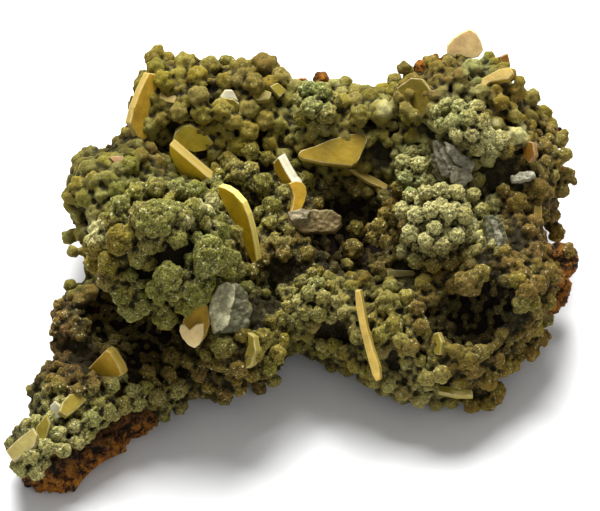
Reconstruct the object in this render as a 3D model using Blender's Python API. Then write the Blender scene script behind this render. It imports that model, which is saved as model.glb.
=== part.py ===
"""A hand specimen of wulfenite and mimetite on limonite, 57 mm across.

The rock is a rough limonite matrix that lies on its own flattened underside. A crust of
botryoidal mimetite covers its upper and outer faces, with larger mimetite knobs on it,
a few calcite crystals, and thin square wulfenite tablets that stand in the crust.

Units in the tables are millimetres. A place is given as it is met on the display face:
across to the right, up the face, and lift, the distance that it stands out of the crust's
base towards a viewer who looks down at VIEW_TILT. Directions are given in the same frame,
as (across, up, out).
"""

import math

import bmesh
import bpy
from mathutils import Matrix, Vector, noise
from mathutils.bvhtree import BVHTree

MM = 0.001
VIEW_TILT = math.radians(50.0)
GAP = 0.32
CRUST_THICKNESS = 1.3

# A lump stands out of the crust's base by this share of its radius, and is this much larger
# than the table says, because the thinning of the skin shrinks it.
LUMP_LIFT = 0.45
LUMP_GROWTH = 1.14

# Detail: the voxels of the skins, the triangles they are thinned to, and the rock's
# roughness as (size, depth) of each octave.
ROCK_VOXEL = 0.6
SKIN_VOXEL = 0.45
ROCK_TRIANGLES = 950
VUG_TRIANGLES = 420
CRUST_TRIANGLES = 2000
ROCK_ROUGHNESS = ((4.5, 1.0), (2.0, 0.45))

# Half the side of the blocks that cut the specimen off at the table and above the crust's
# foot, and the wave of that foot as (size, depth).
CUT_REACH = 60.0
FOOT_STEPS = 17
FOOT_WAVE = (5.0, 0.9)

# A piece that would stand past the rim of the rock is seated this far inside it.
RIM_INSET = 0.8

# Tablets at least this long have a bevelled rim, a share of their thickness wide.
LARGE_TABLET = 4.0
RIM_SHARE = 0.22

# A calcite prism's six-sided rings, as (shares of the half length, of the radius), and its
# flatness, which is the share of the radius left across it.
PRISM_RINGS = ((-1.0, 0.35), (-0.7, 0.9), (0.0, 1.0), (0.7, 0.85), (1.0, 0.3))
PRISM_SIDES = 6
PRISM_FLATNESS = 0.8

RUST = (0.30, 0.13, 0.035, 1.0)
OLIVE = (0.15, 0.14, 0.05, 1.0)
HONEY = (0.52, 0.30, 0.05, 1.0)
GREY = (0.32, 0.31, 0.24, 1.0)

# Blocks of the rock: across, up, height above the table, then the radii along X, Y and Z.
ROCK_BLOCKS = (
    (18.5, 9.0, 9.0, 6.3, 7.5, 7.5),
    (19.0, -2.5, 7.0, 5.6, 7.0, 6.0),
    (12.5, -7.6, 5.5, 8.0, 5.5, 5.2),
    (4.6, -5.0, 5.0, 5.0, 5.0, 4.5),
    (15.5, 14.0, 13.5, 6.0, 4.5, 5.5),
    (6.0, 11.5, 10.0, 8.0, 4.0, 6.0),
    (-7.5, 13.5, 10.5, 8.5, 4.0, 6.0),
    (-13.6, 14.5, 11.5, 3.0, 3.5, 4.5),
    (-17.6, 6.5, 8.5, 4.2, 5.5, 5.0),
    (-12.5, 0.0, 7.0, 8.0, 8.0, 6.0),
    (-19.0, -7.5, 5.0, 4.4, 6.0, 4.4),
    (-22.0, -14.5, 3.4, 3.9, 5.0, 4.2),
    (-25.2, -18.8, 2.8, 2.9, 3.4, 3.4),
    (-17.0, -12.6, 3.2, 5.4, 4.0, 3.6),
    (-8.0, -7.4, 5.6, 6.6, 5.0, 5.0),
    (1.0, 0.6, 5.6, 8.0, 8.0, 5.0),
    (9.5, 3.0, 5.5, 10.0, 9.0, 4.5),
    (1.0, 0.0, 2.4, 21.0, 9.5, 3.2),
    (-4.0, 7.0, 6.5, 8.0, 5.0, 5.5),
    (-24.6, -20.4, 1.8, 3.2, 2.6, 2.8),
    (-20.8, -18.0, 1.9, 3.6, 2.6, 2.9),
    (-17.0, -15.4, 2.0, 3.2, 2.4, 2.9),
)

# Vugs sunk in the rock, in the same terms.
VUGS = (
    (-18.2, -5.2, 9.5, 4.2, 4.2, 5.0),
    (-14.0, -8.2, 8.5, 4.6, 3.8, 4.0),
    (5.4, 3.6, 11.5, 5.2, 5.6, 5.6),
    (16.8, -4.6, 12.5, 5.6, 4.4, 5.4),
    (21.4, 7.0, 17.5, 3.2, 3.0, 4.0),
    (-13.4, 11.9, 16.5, 2.8, 2.6, 3.4),
)
# Where no crust grows, the rock of a vug is bare: this much wider than the vug.
BARE_MARGIN = 0.5

# The crust stops at this height above the table: world X, world Y, height.
CRUST_FOOT = (
    (-28.0, -30.0, 4.2),
    (-22.0, -27.0, 4.8),
    (-17.0, -23.0, 4.9),
    (-26.0, -14.0, 4.2),
    (-22.0, 0.0, 5.2),
    (-8.0, -18.0, 2.6),
    (2.0, -12.0, 2.2),
    (14.0, -22.0, 2.2),
    (24.0, -16.0, 3.6),
    (27.0, 0.0, 6.5),
    (18.0, 12.0, 9.5),
    (0.0, 14.0, 9.0),
    (-14.0, 12.0, 8.5),
)

# Lumps of the crust: across, up, radius.
CRUST_LUMPS = (
    # the ridge along the upper left
    (-14.7, 21.3, 0.9), (-15.1, 20.1, 1.0), (-14.3, 19.2, 1.1), (-13.2, 20.2, 0.8),
    (-11.3, 19.7, 1.3), (-9.0, 19.3, 1.2), (-10.2, 18.4, 1.1), (-12.2, 18.5, 1.0),
    (-13.5, 17.9, 1.1), (-12.0, 17.2, 1.0), (-5.9, 18.8, 1.5), (-3.5, 19.3, 1.6),
    (-4.6, 17.6, 1.2), (-2.0, 18.2, 1.1), (-10.1, 16.3, 1.2), (-12.0, 14.7, 1.1),
    (-9.7, 14.7, 1.2), (-7.7, 15.0, 1.2), (-5.1, 15.1, 1.1), (-5.2, 13.0, 1.2),
    (-6.6, 13.8, 1.0), (-3.6, 14.0, 1.1), (-6.0, 11.4, 1.1), (-7.2, 10.0, 1.0),
    (-8.6, 10.6, 0.8), (-2.2, 13.4, 1.1), (-3.0, 11.8, 1.0), (-0.6, 17.4, 0.9),
    # the ridge along the upper right
    (4.6, 17.7, 0.8), (3.3, 17.6, 0.7), (4.3, 15.9, 0.9), (5.6, 16.8, 0.9),
    (5.9, 14.4, 1.2), (8.0, 14.8, 1.3), (7.0, 16.4, 0.9), (10.4, 19.2, 0.8),
    (9.5, 18.0, 0.9), (11.2, 17.9, 0.9), (10.7, 14.2, 0.8), (13.0, 19.6, 1.0),
    (14.8, 19.6, 0.9), (17.2, 19.2, 1.1), (18.8, 20.2, 0.8), (16.0, 18.4, 0.9),
    (20.2, 18.6, 0.9), (21.5, 16.8, 1.0), (23.0, 16.3, 1.0), (18.0, 16.8, 0.8),
    (20.0, 15.7, 0.9), (21.2, 14.4, 0.8), (24.4, 14.8, 0.9), (25.1, 13.4, 0.9),
    (25.9, 12.0, 0.9), (26.6, 10.4, 0.9), (26.4, 8.8, 0.9), (25.8, 7.0, 0.9),
    (24.6, 6.8, 0.8), (25.0, 4.6, 0.9), (21.4, 12.4, 1.0), (19.2, 5.7, 1.0),
    (21.4, 5.8, 1.3), (20.2, 7.0, 0.8), (24.8, 2.4, 1.0), (25.9, 1.0, 1.0),
    # the right side and the lower right
    (22.4, -3.0, 1.3), (21.4, -1.9, 1.0), (23.5, -2.2, 1.0), (23.0, -4.1, 1.0),
    (21.8, -4.3, 1.0), (25.0, -1.4, 1.1), (24.6, -4.0, 0.9), (24.4, -5.8, 0.9),
    (23.4, -7.4, 1.0), (22.0, -8.5, 1.0), (22.7, -6.8, 0.9), (20.8, -9.2, 0.9),
    (20.0, -10.5, 1.1), (18.6, -11.6, 1.3), (19.5, -12.8, 1.0), (16.6, -9.7, 1.3),
    (15.5, -9.0, 0.9), (17.8, -9.0, 1.0), (17.0, -10.8, 1.0), (14.0, -11.2, 1.0),
    (12.5, -11.5, 1.0), (15.0, -13.8, 0.9), (10.3, -13.0, 1.0), (8.8, -12.3, 0.9),
    (11.8, -13.6, 1.0), (13.5, -14.1, 0.9), (17.0, -14.2, 1.0), (18.7, -14.2, 0.9),
    (20.0, -13.9, 0.8), (7.2, -11.0, 0.9), (5.5, -10.3, 0.9), (4.5, -9.0, 0.9),
    (3.4, -8.3, 0.9), (2.2, -8.3, 0.8), (8.0, -7.2, 1.0), (9.2, -6.4, 1.1),
    (7.2, -5.7, 0.6), (8.8, -4.3, 1.5), (9.0, -2.6, 0.9), (10.5, -3.6, 1.0),
    (10.9, -8.5, 1.0), (11.5, -4.7, 1.0), (9.8, -7.8, 0.9), (12.0, -6.5, 0.9),
    (12.2, -2.2, 1.0), (13.8, -1.7, 1.0), (15.2, -2.4, 0.9), (16.6, -2.2, 1.5),
    (18.0, -1.2, 1.0), (5.5, 3.1, 1.0), (5.2, 1.1, 1.2), (4.6, -0.5, 0.8),
    # the left end
    (-20.9, 9.2, 1.0), (-19.6, 9.8, 0.8), (-22.0, 7.5, 1.1), (-20.5, 8.0, 1.0),
    (-19.0, 8.2, 1.0), (-22.8, 6.4, 0.8), (-21.2, 6.3, 1.1), (-19.7, 6.5, 1.0),
    (-18.2, 7.0, 1.0), (-22.0, 4.7, 1.0), (-20.3, 4.8, 1.0), (-18.8, 5.2, 0.9),
    (-23.0, 2.4, 0.9), (-21.6, 2.8, 1.0), (-20.2, 3.2, 0.9), (-22.6, 1.0, 0.7),
    (-17.0, 9.4, 1.1), (-15.8, 10.4, 0.9), (-18.0, 9.0, 0.9), (-22.8, -2.4, 0.7),
    (-23.8, -4.4, 0.8), (-24.0, -6.2, 0.7), (-23.2, -5.4, 0.7), (-24.2, -8.4, 0.7),
    (-24.0, -10.4, 0.6), (-24.9, -12.7, 0.7), (-21.2, -6.2, 0.7), (-21.6, -7.6, 0.6),
    # the foot at the lower left
    (-22.0, -12.8, 0.9), (-20.4, -12.4, 0.9), (-18.5, -12.2, 0.9), (-16.6, -13.0, 1.0),
    (-17.8, -11.2, 0.9), (-15.2, -12.5, 0.9), (-14.1, -13.4, 1.0), (-12.2, -12.6, 1.2),
    (-13.0, -11.2, 0.9), (-12.6, -9.5, 1.2), (-15.0, -11.0, 0.9), (-26.0, -15.9, 0.9),
    (-24.5, -15.4, 0.9), (-23.8, -17.1, 1.0), (-22.2, -16.4, 0.9), (-20.5, -15.6, 1.0),
    (-19.0, -14.9, 1.0), (-17.4, -14.2, 1.0), (-16.0, -14.1, 0.9), (-25.0, -18.4, 1.0),
    (-26.5, -19.3, 1.0), (-27.4, -20.4, 1.0), (-26.0, -20.8, 0.9), (-23.4, -18.6, 0.9),
    (-22.0, -17.9, 0.9),
    # between the large knob and the lower edge
    (-10.0, -11.2, 0.9), (-9.0, -12.3, 0.9), (-7.5, -13.0, 0.9), (-6.0, -12.6, 0.9),
    (-4.0, -12.6, 0.8), (-2.6, -11.8, 0.8), (-10.6, -13.0, 0.9), (-11.0, -10.0, 0.9),
    (-1.6, 0.7, 0.9), (-2.1, 1.8, 0.8), (-2.8, 5.4, 1.1), (-3.7, 7.6, 1.3),
    (-1.6, 6.6, 1.2), (-3.2, 6.0, 0.9), (-6.4, 8.8, 1.4), (-7.8, 8.4, 1.0),
    (-4.9, 9.0, 1.0), (-5.1, 11.0, 1.1), (-6.3, 11.3, 1.0), (-3.3, 10.2, 0.9),
    (-3.8, 0.2, 0.9), (-5.0, -1.0, 0.9), (-1.0, 3.0, 0.8), (0.6, 8.0, 1.0),
)

# Lumps round the hidden side, in rings: the height above the table, and the radius.
BACK_RINGS = ((11.6, 1.25), (14.2, 1.15), (16.6, 1.05))
# Bearings round the rock, in degrees from +X: the first, the last and the step.
BACK_BEARINGS = (-10, 196, 9)

# Knobs: across, up, lift and reach of the core, then each lobe as across, up, radius, sink.
# A lobe lies on the sphere of the knob's reach, less its sink.
KNOBS = {
    "mimetite_knob_large": {
        "core": (-13.4, 0.8, 4.0), "reach": 6.7, "core_radius": 5.3, "triangles": 900,
        "lobes": (
            (-14.2, 7.1, 1.3, 0.3), (-16.0, 6.6, 1.3, 0.3), (-17.6, 5.4, 1.3, 0.3),
            (-18.8, 3.8, 1.3, 0.2), (-12.0, 7.0, 1.3, 0.3), (-10.2, 6.7, 1.3, 0.3),
            (-8.9, 6.0, 1.1, 0.4), (-14.4, 3.9, 2.2, -0.6), (-15.6, 4.6, 1.4, -0.4),
            (-12.8, 4.7, 1.5, -0.4), (-11.6, 4.2, 1.3, -0.1), (-10.4, 5.2, 1.2, -0.1),
            (-12.1, 2.2, 1.2, 0.5), (-14.7, 1.7, 1.3, 0.4), (-17.6, 2.1, 1.7, -0.2),
            (-19.8, 1.6, 1.7, 0.2), (-18.8, -0.2, 1.3, 0.1), (-20.2, -0.2, 1.2, 0.6),
            (-18.8, -1.7, 1.4, 0.2), (-17.5, -3.2, 1.3, 0.3), (-16.6, -4.6, 1.5, 0.1),
            (-15.4, -4.4, 1.0, 0.4), (-15.9, 0.4, 1.2, 1.0), (-14.8, -0.2, 0.9, 1.3),
            (-13.0, -1.5, 1.6, -0.1), (-14.0, -2.8, 1.3, 0.2), (-12.5, -3.0, 1.1, 0.4),
            (-10.2, -3.0, 1.7, 0.0), (-11.3, -4.3, 1.2, 0.3), (-9.5, -2.3, 1.2, 0.2),
            (-13.3, -5.5, 1.4, 0.6), (-8.9, 0.7, 2.0, -0.3), (-9.5, -0.5, 1.3, 0.0),
            (-7.8, -0.2, 1.3, 0.2), (-6.8, 0.2, 1.1, 0.4), (-6.2, -0.8, 1.0, 0.4),
            (-7.2, -1.2, 1.1, 0.3), (-7.8, 3.2, 0.8, 0.6), (-6.3, 2.8, 0.8, 0.6),
            (-9.5, 3.8, 0.9, 0.7), (-9.2, 4.7, 1.0, 0.5),
        ),
    },
    "mimetite_knob_right": {
        "core": (13.8, 3.2, 4.2), "reach": 4.3, "core_radius": 3.2, "triangles": 480,
        "lobes": (
            (11.0, 6.5, 0.9, 0.0), (12.5, 6.8, 0.9, 0.0), (14.0, 7.0, 0.9, 0.0),
            (15.5, 6.8, 0.9, 0.0), (17.2, 6.6, 0.8, 0.0), (18.0, 5.0, 0.9, 0.0),
            (18.3, 3.5, 0.9, 0.0), (17.8, 2.0, 0.9, 0.0), (16.5, 0.5, 0.9, 0.0),
            (15.0, -0.2, 0.9, 0.0), (13.2, -0.4, 0.9, 0.0), (11.5, 0.0, 0.9, 0.0),
            (10.0, 1.0, 0.9, 0.0), (9.2, 2.5, 0.9, 0.1), (9.0, 4.0, 0.9, 0.2),
            (7.9, 3.5, 0.9, 0.4), (7.3, 2.3, 0.8, 0.6), (10.0, 5.0, 1.0, 0.0),
            (11.5, 4.5, 1.0, 0.1), (13.0, 5.0, 1.0, 0.0), (14.7, 4.8, 1.0, 0.1),
            (16.2, 4.5, 1.0, 0.0), (13.3, 3.2, 0.9, 0.2), (12.5, 2.0, 0.9, 0.0),
            (14.0, 1.5, 1.0, 0.0), (15.5, 2.5, 0.9, 0.2), (11.0, 2.8, 1.0, 0.1),
        ),
    },
    "mimetite_knob_green_spur": {
        "core": (11.0, 8.8, 2.6), "reach": 1.9, "core_radius": 1.5, "triangles": 240,
        "lobes": (
            (12.4, 11.0, 0.8, 0.2), (11.2, 10.7, 0.9, 0.0), (10.2, 9.8, 0.9, 0.0),
            (11.8, 9.5, 1.0, 0.0), (12.9, 9.9, 0.9, 0.1), (10.5, 8.2, 1.0, 0.0),
            (12.0, 8.0, 1.0, 0.0), (9.8, 7.2, 0.9, 0.3),
        ),
    },
    "mimetite_knob_centre_small": {
        "core": (1.3, -4.0, 2.2), "reach": 2.6, "core_radius": 1.8, "triangles": 260,
        "lobes": (
            (1.2, -1.1, 0.6, 0.3), (0.0, -2.1, 0.7, 0.1), (1.8, -2.2, 0.8, 0.0),
            (3.0, -2.5, 0.7, 0.1), (0.8, -3.2, 0.9, 0.0), (2.2, -3.6, 0.9, 0.0),
            (3.5, -4.0, 0.8, 0.0), (-0.2, -4.0, 0.8, 0.1), (-1.2, -4.5, 0.7, 0.4),
            (0.5, -5.0, 0.9, 0.0), (1.8, -5.2, 0.9, 0.0), (3.0, -5.5, 0.8, 0.1),
            (1.2, -6.4, 0.8, 0.2), (0.0, -6.2, 0.6, 0.3), (4.0, -5.2, 0.6, 0.3),
        ),
    },
    "mimetite_knob_upper_right": {
        "core": (16.8, 13.2, 1.8), "reach": 2.6, "core_radius": 1.8, "triangles": 260,
        "lobes": (
            (13.5, 14.8, 0.8, 0.3), (14.5, 15.5, 0.8, 0.1), (15.8, 15.2, 0.9, 0.0),
            (14.0, 13.5, 0.9, 0.1), (15.2, 13.8, 0.9, 0.0), (16.7, 14.2, 1.0, 0.0),
            (17.5, 15.2, 0.9, 0.0), (18.0, 13.8, 0.9, 0.0), (15.5, 12.5, 0.8, 0.1),
            (17.0, 12.5, 0.8, 0.0), (18.5, 12.5, 1.0, 0.0), (19.8, 12.0, 1.1, 0.3),
            (19.0, 11.0, 0.9, 0.3), (17.5, 11.2, 0.9, 0.2), (20.5, 11.0, 0.8, 0.8),
        ),
    },
    "mimetite_knob_lower": {
        "core": (-5.6, -8.8, 1.4), "reach": 2.6, "core_radius": 2.0, "triangles": 260,
        "lobes": (
            (-7.5, -8.4, 1.4, 0.0), (-5.7, -7.2, 1.0, 0.1), (-3.6, -7.6, 1.1, 0.0),
            (-4.5, -9.2, 1.0, 0.0), (-2.3, -9.2, 1.0, 0.4), (-3.0, -10.5, 0.9, 0.3),
            (-6.0, -10.6, 1.0, 0.1), (-7.8, -10.2, 0.9, 0.2), (-4.7, -11.2, 0.9, 0.3),
            (-1.6, -7.8, 0.7, 0.8), (-9.2, -9.2, 0.8, 0.6),
        ),
    },
    "mimetite_knob_green_top": {
        "core": (1.7, 15.4, 1.6), "reach": 1.9, "core_radius": 1.5, "triangles": 240,
        "lobes": (
            (0.8, 17.0, 1.1, 0.0), (2.2, 16.8, 1.1, 0.0), (3.3, 16.0, 0.9, 0.2),
            (0.0, 16.0, 0.8, 0.2), (1.2, 15.2, 1.2, 0.0), (2.6, 14.7, 1.2, 0.0),
            (0.2, 14.2, 0.9, 0.1), (1.5, 13.5, 1.0, 0.0), (3.2, 13.6, 0.8, 0.2),
        ),
    },
}

# Calcite: across, up, lift, the long axis, the radius and the length of each prism.
CALCITES = {
    "calcite_grey_lump": (((-6.8, -4.6, 3.2), (0.15, -1.0, 0.1), 1.95, 4.6),),
    "calcite_brown_prism": (((1.4, 3.9, 1.6), (1.0, -0.06, 0.1), 1.1, 5.4),),
    "calcite_grey_blades": (
        ((14.0, 9.9, 1.2), (0.5, -0.75, 0.45), 0.95, 4.6),
        ((15.6, 9.3, 0.8), (-0.35, -0.8, 0.5), 0.9, 3.6),
    ),
    "calcite_grey_right": (((19.6, 2.4, 0.8), (0.2, 1.0, 0.2), 1.2, 3.6),),
    "calcite_white_streak": (((22.0, 8.6, 0.5), (1.0, 0.35, 0.2), 0.6, 2.4),),
}

# Wulfenite: across, up, lift, then the long direction, the face's normal, the length,
# the width and the thickness, and the share of the width cut from each corner.
TABLETS = {
    "wulfenite_upper_left_plate": (
        (-15.3, 15.2, 0.4), (-0.2, -0.97, 0.0), (0.62, -0.15, 0.77), (7.0, 4.6, 1.1), 0.2),
    "wulfenite_upper_left_bar": (
        (-12.8, 15.9, 0.4), (0.97, -0.22, 0.0), (0.1, 0.94, 0.33), (3.2, 3.0, 0.75), 0.2),
    "wulfenite_olive_round": (
        (-10.5, 11.8, 0.8), (1.0, 0.05, 0.1), (-0.25, 0.25, 0.93), (4.9, 4.2, 0.9), 0.38),
    "wulfenite_edge_blade": (
        (-11.0, 9.3, 3.2), (0.78, -0.62, 0.05), (-0.45, -0.55, 0.70), (5.4, 4.8, 0.95), 0.2),
    "wulfenite_curved_blade": (
        (-5.9, 3.2, 3.0), (0.3, -0.95, 0.05), (-0.82, -0.22, 0.53), (8.6, 6.2, 1.0), 0.36),
    "wulfenite_bright_edge": (
        (-0.7, 7.4, 1.6), (0.42, -0.9, 0.1), (0.55, 0.3, 0.78), (6.2, 3.0, 0.9), 0.3),
    "wulfenite_centre_plate": (
        (3.2, 10.8, 1.5), (0.99, 0.12, 0.05), (-0.05, 0.78, 0.62), (6.8, 5.2, 0.85), 0.14),
    "wulfenite_centre_splinter": (
        (6.9, 8.0, 0.9), (0.89, -0.45, 0.1), (0.4, 0.83, 0.38), (4.2, 2.0, 0.6), 0.2),
    "wulfenite_pointed_tip": (
        (-10.0, -6.8, 3.1), (0.1, -0.99, 0.1), (0.1, -0.25, 0.96), (4.4, 2.8, 1.5), 0.42),
    "wulfenite_corner_up": (
        (-19.2, -11.0, 0.6), (0.62, -0.78, 0.0), (-0.35, -0.1, 0.93), (5.0, 4.6, 1.0), 0.06),
    "wulfenite_foot_yellow": (
        (-22.7, -14.2, 0.9), (0.95, 0.3, 0.0), (0.1, 0.62, 0.78), (3.6, 3.2, 0.9), 0.16),
    "wulfenite_foot_small": (
        (-24.2, -15.3, 0.7), (0.3, -0.95, 0.0), (-0.7, 0.2, 0.68), (2.0, 1.8, 0.7), 0.16),
    "wulfenite_foot_pale_plate": (
        (-26.6, -17.2, 0.7), (0.76, 0.65, 0.0), (-0.45, 0.45, 0.77), (5.4, 2.9, 0.8), 0.16),
    "wulfenite_upper_right_bar": (
        (18.9, 17.7, 0.8), (0.91, 0.41, 0.0), (-0.4, 0.87, 0.28), (5.2, 3.6, 0.9), 0.14),
    "wulfenite_lozenge": (
        (11.6, 16.2, 0.6), (0.7, -0.7, 0.1), (-0.2, 0.0, 0.98), (4.0, 3.8, 0.8), 0.08),
    "wulfenite_behind_white": (
        (22.8, 11.0, 0.8), (0.05, -1.0, 0.0), (-0.75, 0.1, 0.65), (3.6, 2.6, 0.8), 0.16),
    "wulfenite_right_bar": (
        (23.7, 4.8, 0.6), (0.1, -0.99, 0.0), (0.75, 0.1, 0.65), (3.6, 2.2, 0.8), 0.16),
    "wulfenite_needle": (
        (6.9, -7.3, 1.4), (0.26, -0.96, 0.0), (0.94, 0.25, 0.24), (9.4, 3.4, 0.8), 0.12),
    "wulfenite_lower_plate": (
        (13.4, -8.2, 0.5), (0.05, -1.0, 0.05), (-0.7, 0.0, 0.71), (3.8, 2.4, 0.7), 0.2),
    "wulfenite_lower_bar": (
        (15.5, -12.7, 0.6), (1.0, -0.06, 0.0), (0.0, 0.95, 0.3), (3.8, 2.2, 0.7), 0.14),
    "wulfenite_shadow_bar": (
        (10.1, -1.2, 0.9), (1.0, 0.0, 0.0), (0.0, 0.96, 0.27), (3.4, 2.2, 0.55), 0.14),
    "wulfenite_cream_top": (
        (16.5, 20.9, 0.2), (0.62, 0.78, 0.0), (0.1, 0.25, 0.96), (4.4, 3.4, 1.1), 0.32),
    "wulfenite_overgrown_blade": (
        (-5.4, -9.7, 4.2), (-0.12, -0.99, 0.0), (-0.8, 0.1, 0.6), (3.0, 2.4, 0.7), 0.3),
    "wulfenite_white_tip": (
        (-7.3, 16.4, 0.8), (0.3, 0.95, 0.0), (0.15, -0.1, 0.98), (3.0, 2.4, 0.9), 0.3),
    "wulfenite_back_pair_left": (
        (-4.0, 16.4, 0.8), (0.98, 0.1, 0.0), (0.1, 0.7, 0.7), (3.0, 2.0, 0.8), 0.14),
    "wulfenite_back_pair_right": (
        (-2.2, 17.3, 0.9), (0.6, -0.7, 0.0), (0.3, 0.5, 0.8), (2.2, 1.6, 0.7), 0.14),
    "wulfenite_brown_corner": (
        (20.6, 19.4, 0.4), (0.5, 0.85, 0.0), (0.3, 0.1, 0.95), (1.9, 1.7, 0.7), 0.06),
    "wulfenite_left_chip": (
        (-18.3, 10.0, 0.8), (0.95, -0.3, 0.0), (0.0, 0.6, 0.8), (2.4, 1.8, 0.7), 0.12),
}

OUT = Vector((0.0, -math.cos(VIEW_TILT), math.sin(VIEW_TILT)))
UP = Vector((0.0, math.sin(VIEW_TILT), math.cos(VIEW_TILT)))
ACROSS = Vector((1.0, 0.0, 0.0))


def turned(direction):
    """A direction of the display face, as (across, up, out), in world axes."""
    across, up, out = direction
    return (ACROSS * across + UP * up + OUT * out).normalized()


def above_table(across, up, height):
    """The world point, in millimetres, seen at (across, up) and this high above the table."""
    return Vector((across, (up - height * UP.z) / UP.y, height))


def clear_scene():
    for obj in list(bpy.data.objects):
        bpy.data.objects.remove(obj)


def add_object(name, mesh):
    obj = bpy.data.objects.new(name, mesh)
    bpy.context.scene.collection.objects.link(obj)
    return obj


def mesh_of(bm, name="shape"):
    mesh = bpy.data.meshes.new(name)
    bm.to_mesh(mesh)
    bm.free()
    return mesh


def take_modifiers(obj):
    """Replaces an object's mesh by the one its modifiers make, and drops the modifiers."""
    graph = bpy.context.evaluated_depsgraph_get()
    made = bpy.data.meshes.new_from_object(obj.evaluated_get(graph))
    obj.modifiers.clear()
    obj.data = made
    return obj


def balls(name, spheres, subdivisions=2):
    """One object of many balls, each (centre, radii) in millimetres."""
    bm = bmesh.new()
    for centre, radii in spheres:
        size = Matrix.Diagonal((*[r * MM for r in radii], 1.0))
        place = Matrix.Translation(Vector(centre) * MM) @ size
        bmesh.ops.create_icosphere(bm, subdivisions=subdivisions, radius=1.0, matrix=place)
    return add_object(name, mesh_of(bm))


def skinned(obj, voxel):
    """One closed skin round everything in the object."""
    remesh = obj.modifiers.new("Skin", "REMESH")
    remesh.mode = "VOXEL"
    remesh.voxel_size = voxel * MM
    return take_modifiers(obj)


def thinned(obj, triangles):
    """The same skin in about this many triangles."""
    obj.data.calc_loop_triangles()
    decimate = obj.modifiers.new("Thin", "DECIMATE")
    decimate.ratio = min(1.0, triangles / len(obj.data.loop_triangles))
    decimate.use_collapse_triangulate = True
    return take_modifiers(obj)


def booleaned(obj, cutter, operation):
    """Cuts, joins or keeps what is common with the cutter, which is then deleted."""
    boolean = obj.modifiers.new("Cut", "BOOLEAN")
    boolean.operation = operation
    boolean.object = cutter
    boolean.solver = "EXACT"
    take_modifiers(obj)
    bpy.data.objects.remove(cutter)
    return obj


def swollen(obj, distance):
    """A copy of the object whose skin lies this much further out."""
    mesh = obj.data.copy()
    normals = [v.vector.copy() for v in mesh.vertex_normals]
    for vertex, normal in zip(mesh.vertices, normals):
        vertex.co += normal * distance * MM
    return add_object(obj.name + "_swollen", mesh)


def largest_shell(obj):
    """Keeps the biggest connected body of the mesh, by volume, and drops the crumbs."""
    bm = bmesh.new()
    bm.from_mesh(obj.data)
    left = set(bm.verts)
    shells = []
    while left:
        queue = [left.pop()]
        shell = set(queue)
        while queue:
            for edge in queue.pop().link_edges:
                for vertex in edge.verts:
                    if vertex in left:
                        left.discard(vertex)
                        shell.add(vertex)
                        queue.append(vertex)
        shells.append(shell)

    def size(shell):
        low = [min(v.co[i] for v in shell) for i in range(3)]
        high = [max(v.co[i] for v in shell) for i in range(3)]
        return math.prod(h - l for h, l in zip(high, low))

    if not shells:
        raise ValueError(f"nothing is left of {obj.name}: lift it further out of its neighbours")
    keep = max(shells, key=size)
    bmesh.ops.delete(bm, geom=[v for v in bm.verts if v not in keep], context="VERTS")
    bm.to_mesh(obj.data)
    bm.free()
    return obj


def roughened(obj, octaves):
    """Pushes the skin in and out along its normals, by (size, depth) for each octave."""
    mesh = obj.data
    normals = [v.vector.copy() for v in mesh.vertex_normals]
    for vertex, normal in zip(mesh.vertices, normals):
        push = sum(noise.noise(vertex.co / (size * MM)) * depth for size, depth in octaves)
        vertex.co += normal * push * MM
    return obj


def finish(obj, name, colour, roughness):
    obj.name = name
    obj.data.name = name
    material = bpy.data.materials.get(f"{name}_finish") or bpy.data.materials.new(f"{name}_finish")
    material.use_nodes = True
    surface = material.node_tree.nodes["Principled BSDF"]
    surface.inputs["Base Color"].default_value = colour
    surface.inputs["Roughness"].default_value = roughness
    surface.inputs["Metallic"].default_value = 0.0
    obj.data.materials.clear()
    obj.data.materials.append(material)
    return obj


def below_table():
    """The block of space under the table."""
    bm = bmesh.new()
    middle = Matrix.Translation((0.0, 0.0, -CUT_REACH * MM))
    bmesh.ops.create_cube(bm, size=2 * CUT_REACH * MM, matrix=middle)
    return add_object("below_table", mesh_of(bm))


def vug_balls(margin):
    """The hollows of the rock in one skin, each widened by a margin."""
    hollows = [(above_table(*vug[:3]), [r + margin for r in vug[3:]]) for vug in VUGS]
    return thinned(skinned(balls("vugs", hollows), ROCK_VOXEL), VUG_TRIANGLES)


def make_rock():
    """The limonite: overlapping blocks in one skin, sunk by vugs and flattened underneath."""
    blocks = [(above_table(*block[:3]), block[3:]) for block in ROCK_BLOCKS]
    rock = skinned(balls("rock", blocks, subdivisions=3), ROCK_VOXEL)
    booleaned(rock, vug_balls(0.0), "DIFFERENCE")
    skinned(rock, ROCK_VOXEL)
    roughened(rock, ROCK_ROUGHNESS)
    thinned(rock, ROCK_TRIANGLES)
    booleaned(rock, below_table(), "DIFFERENCE")
    return largest_shell(rock)


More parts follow.
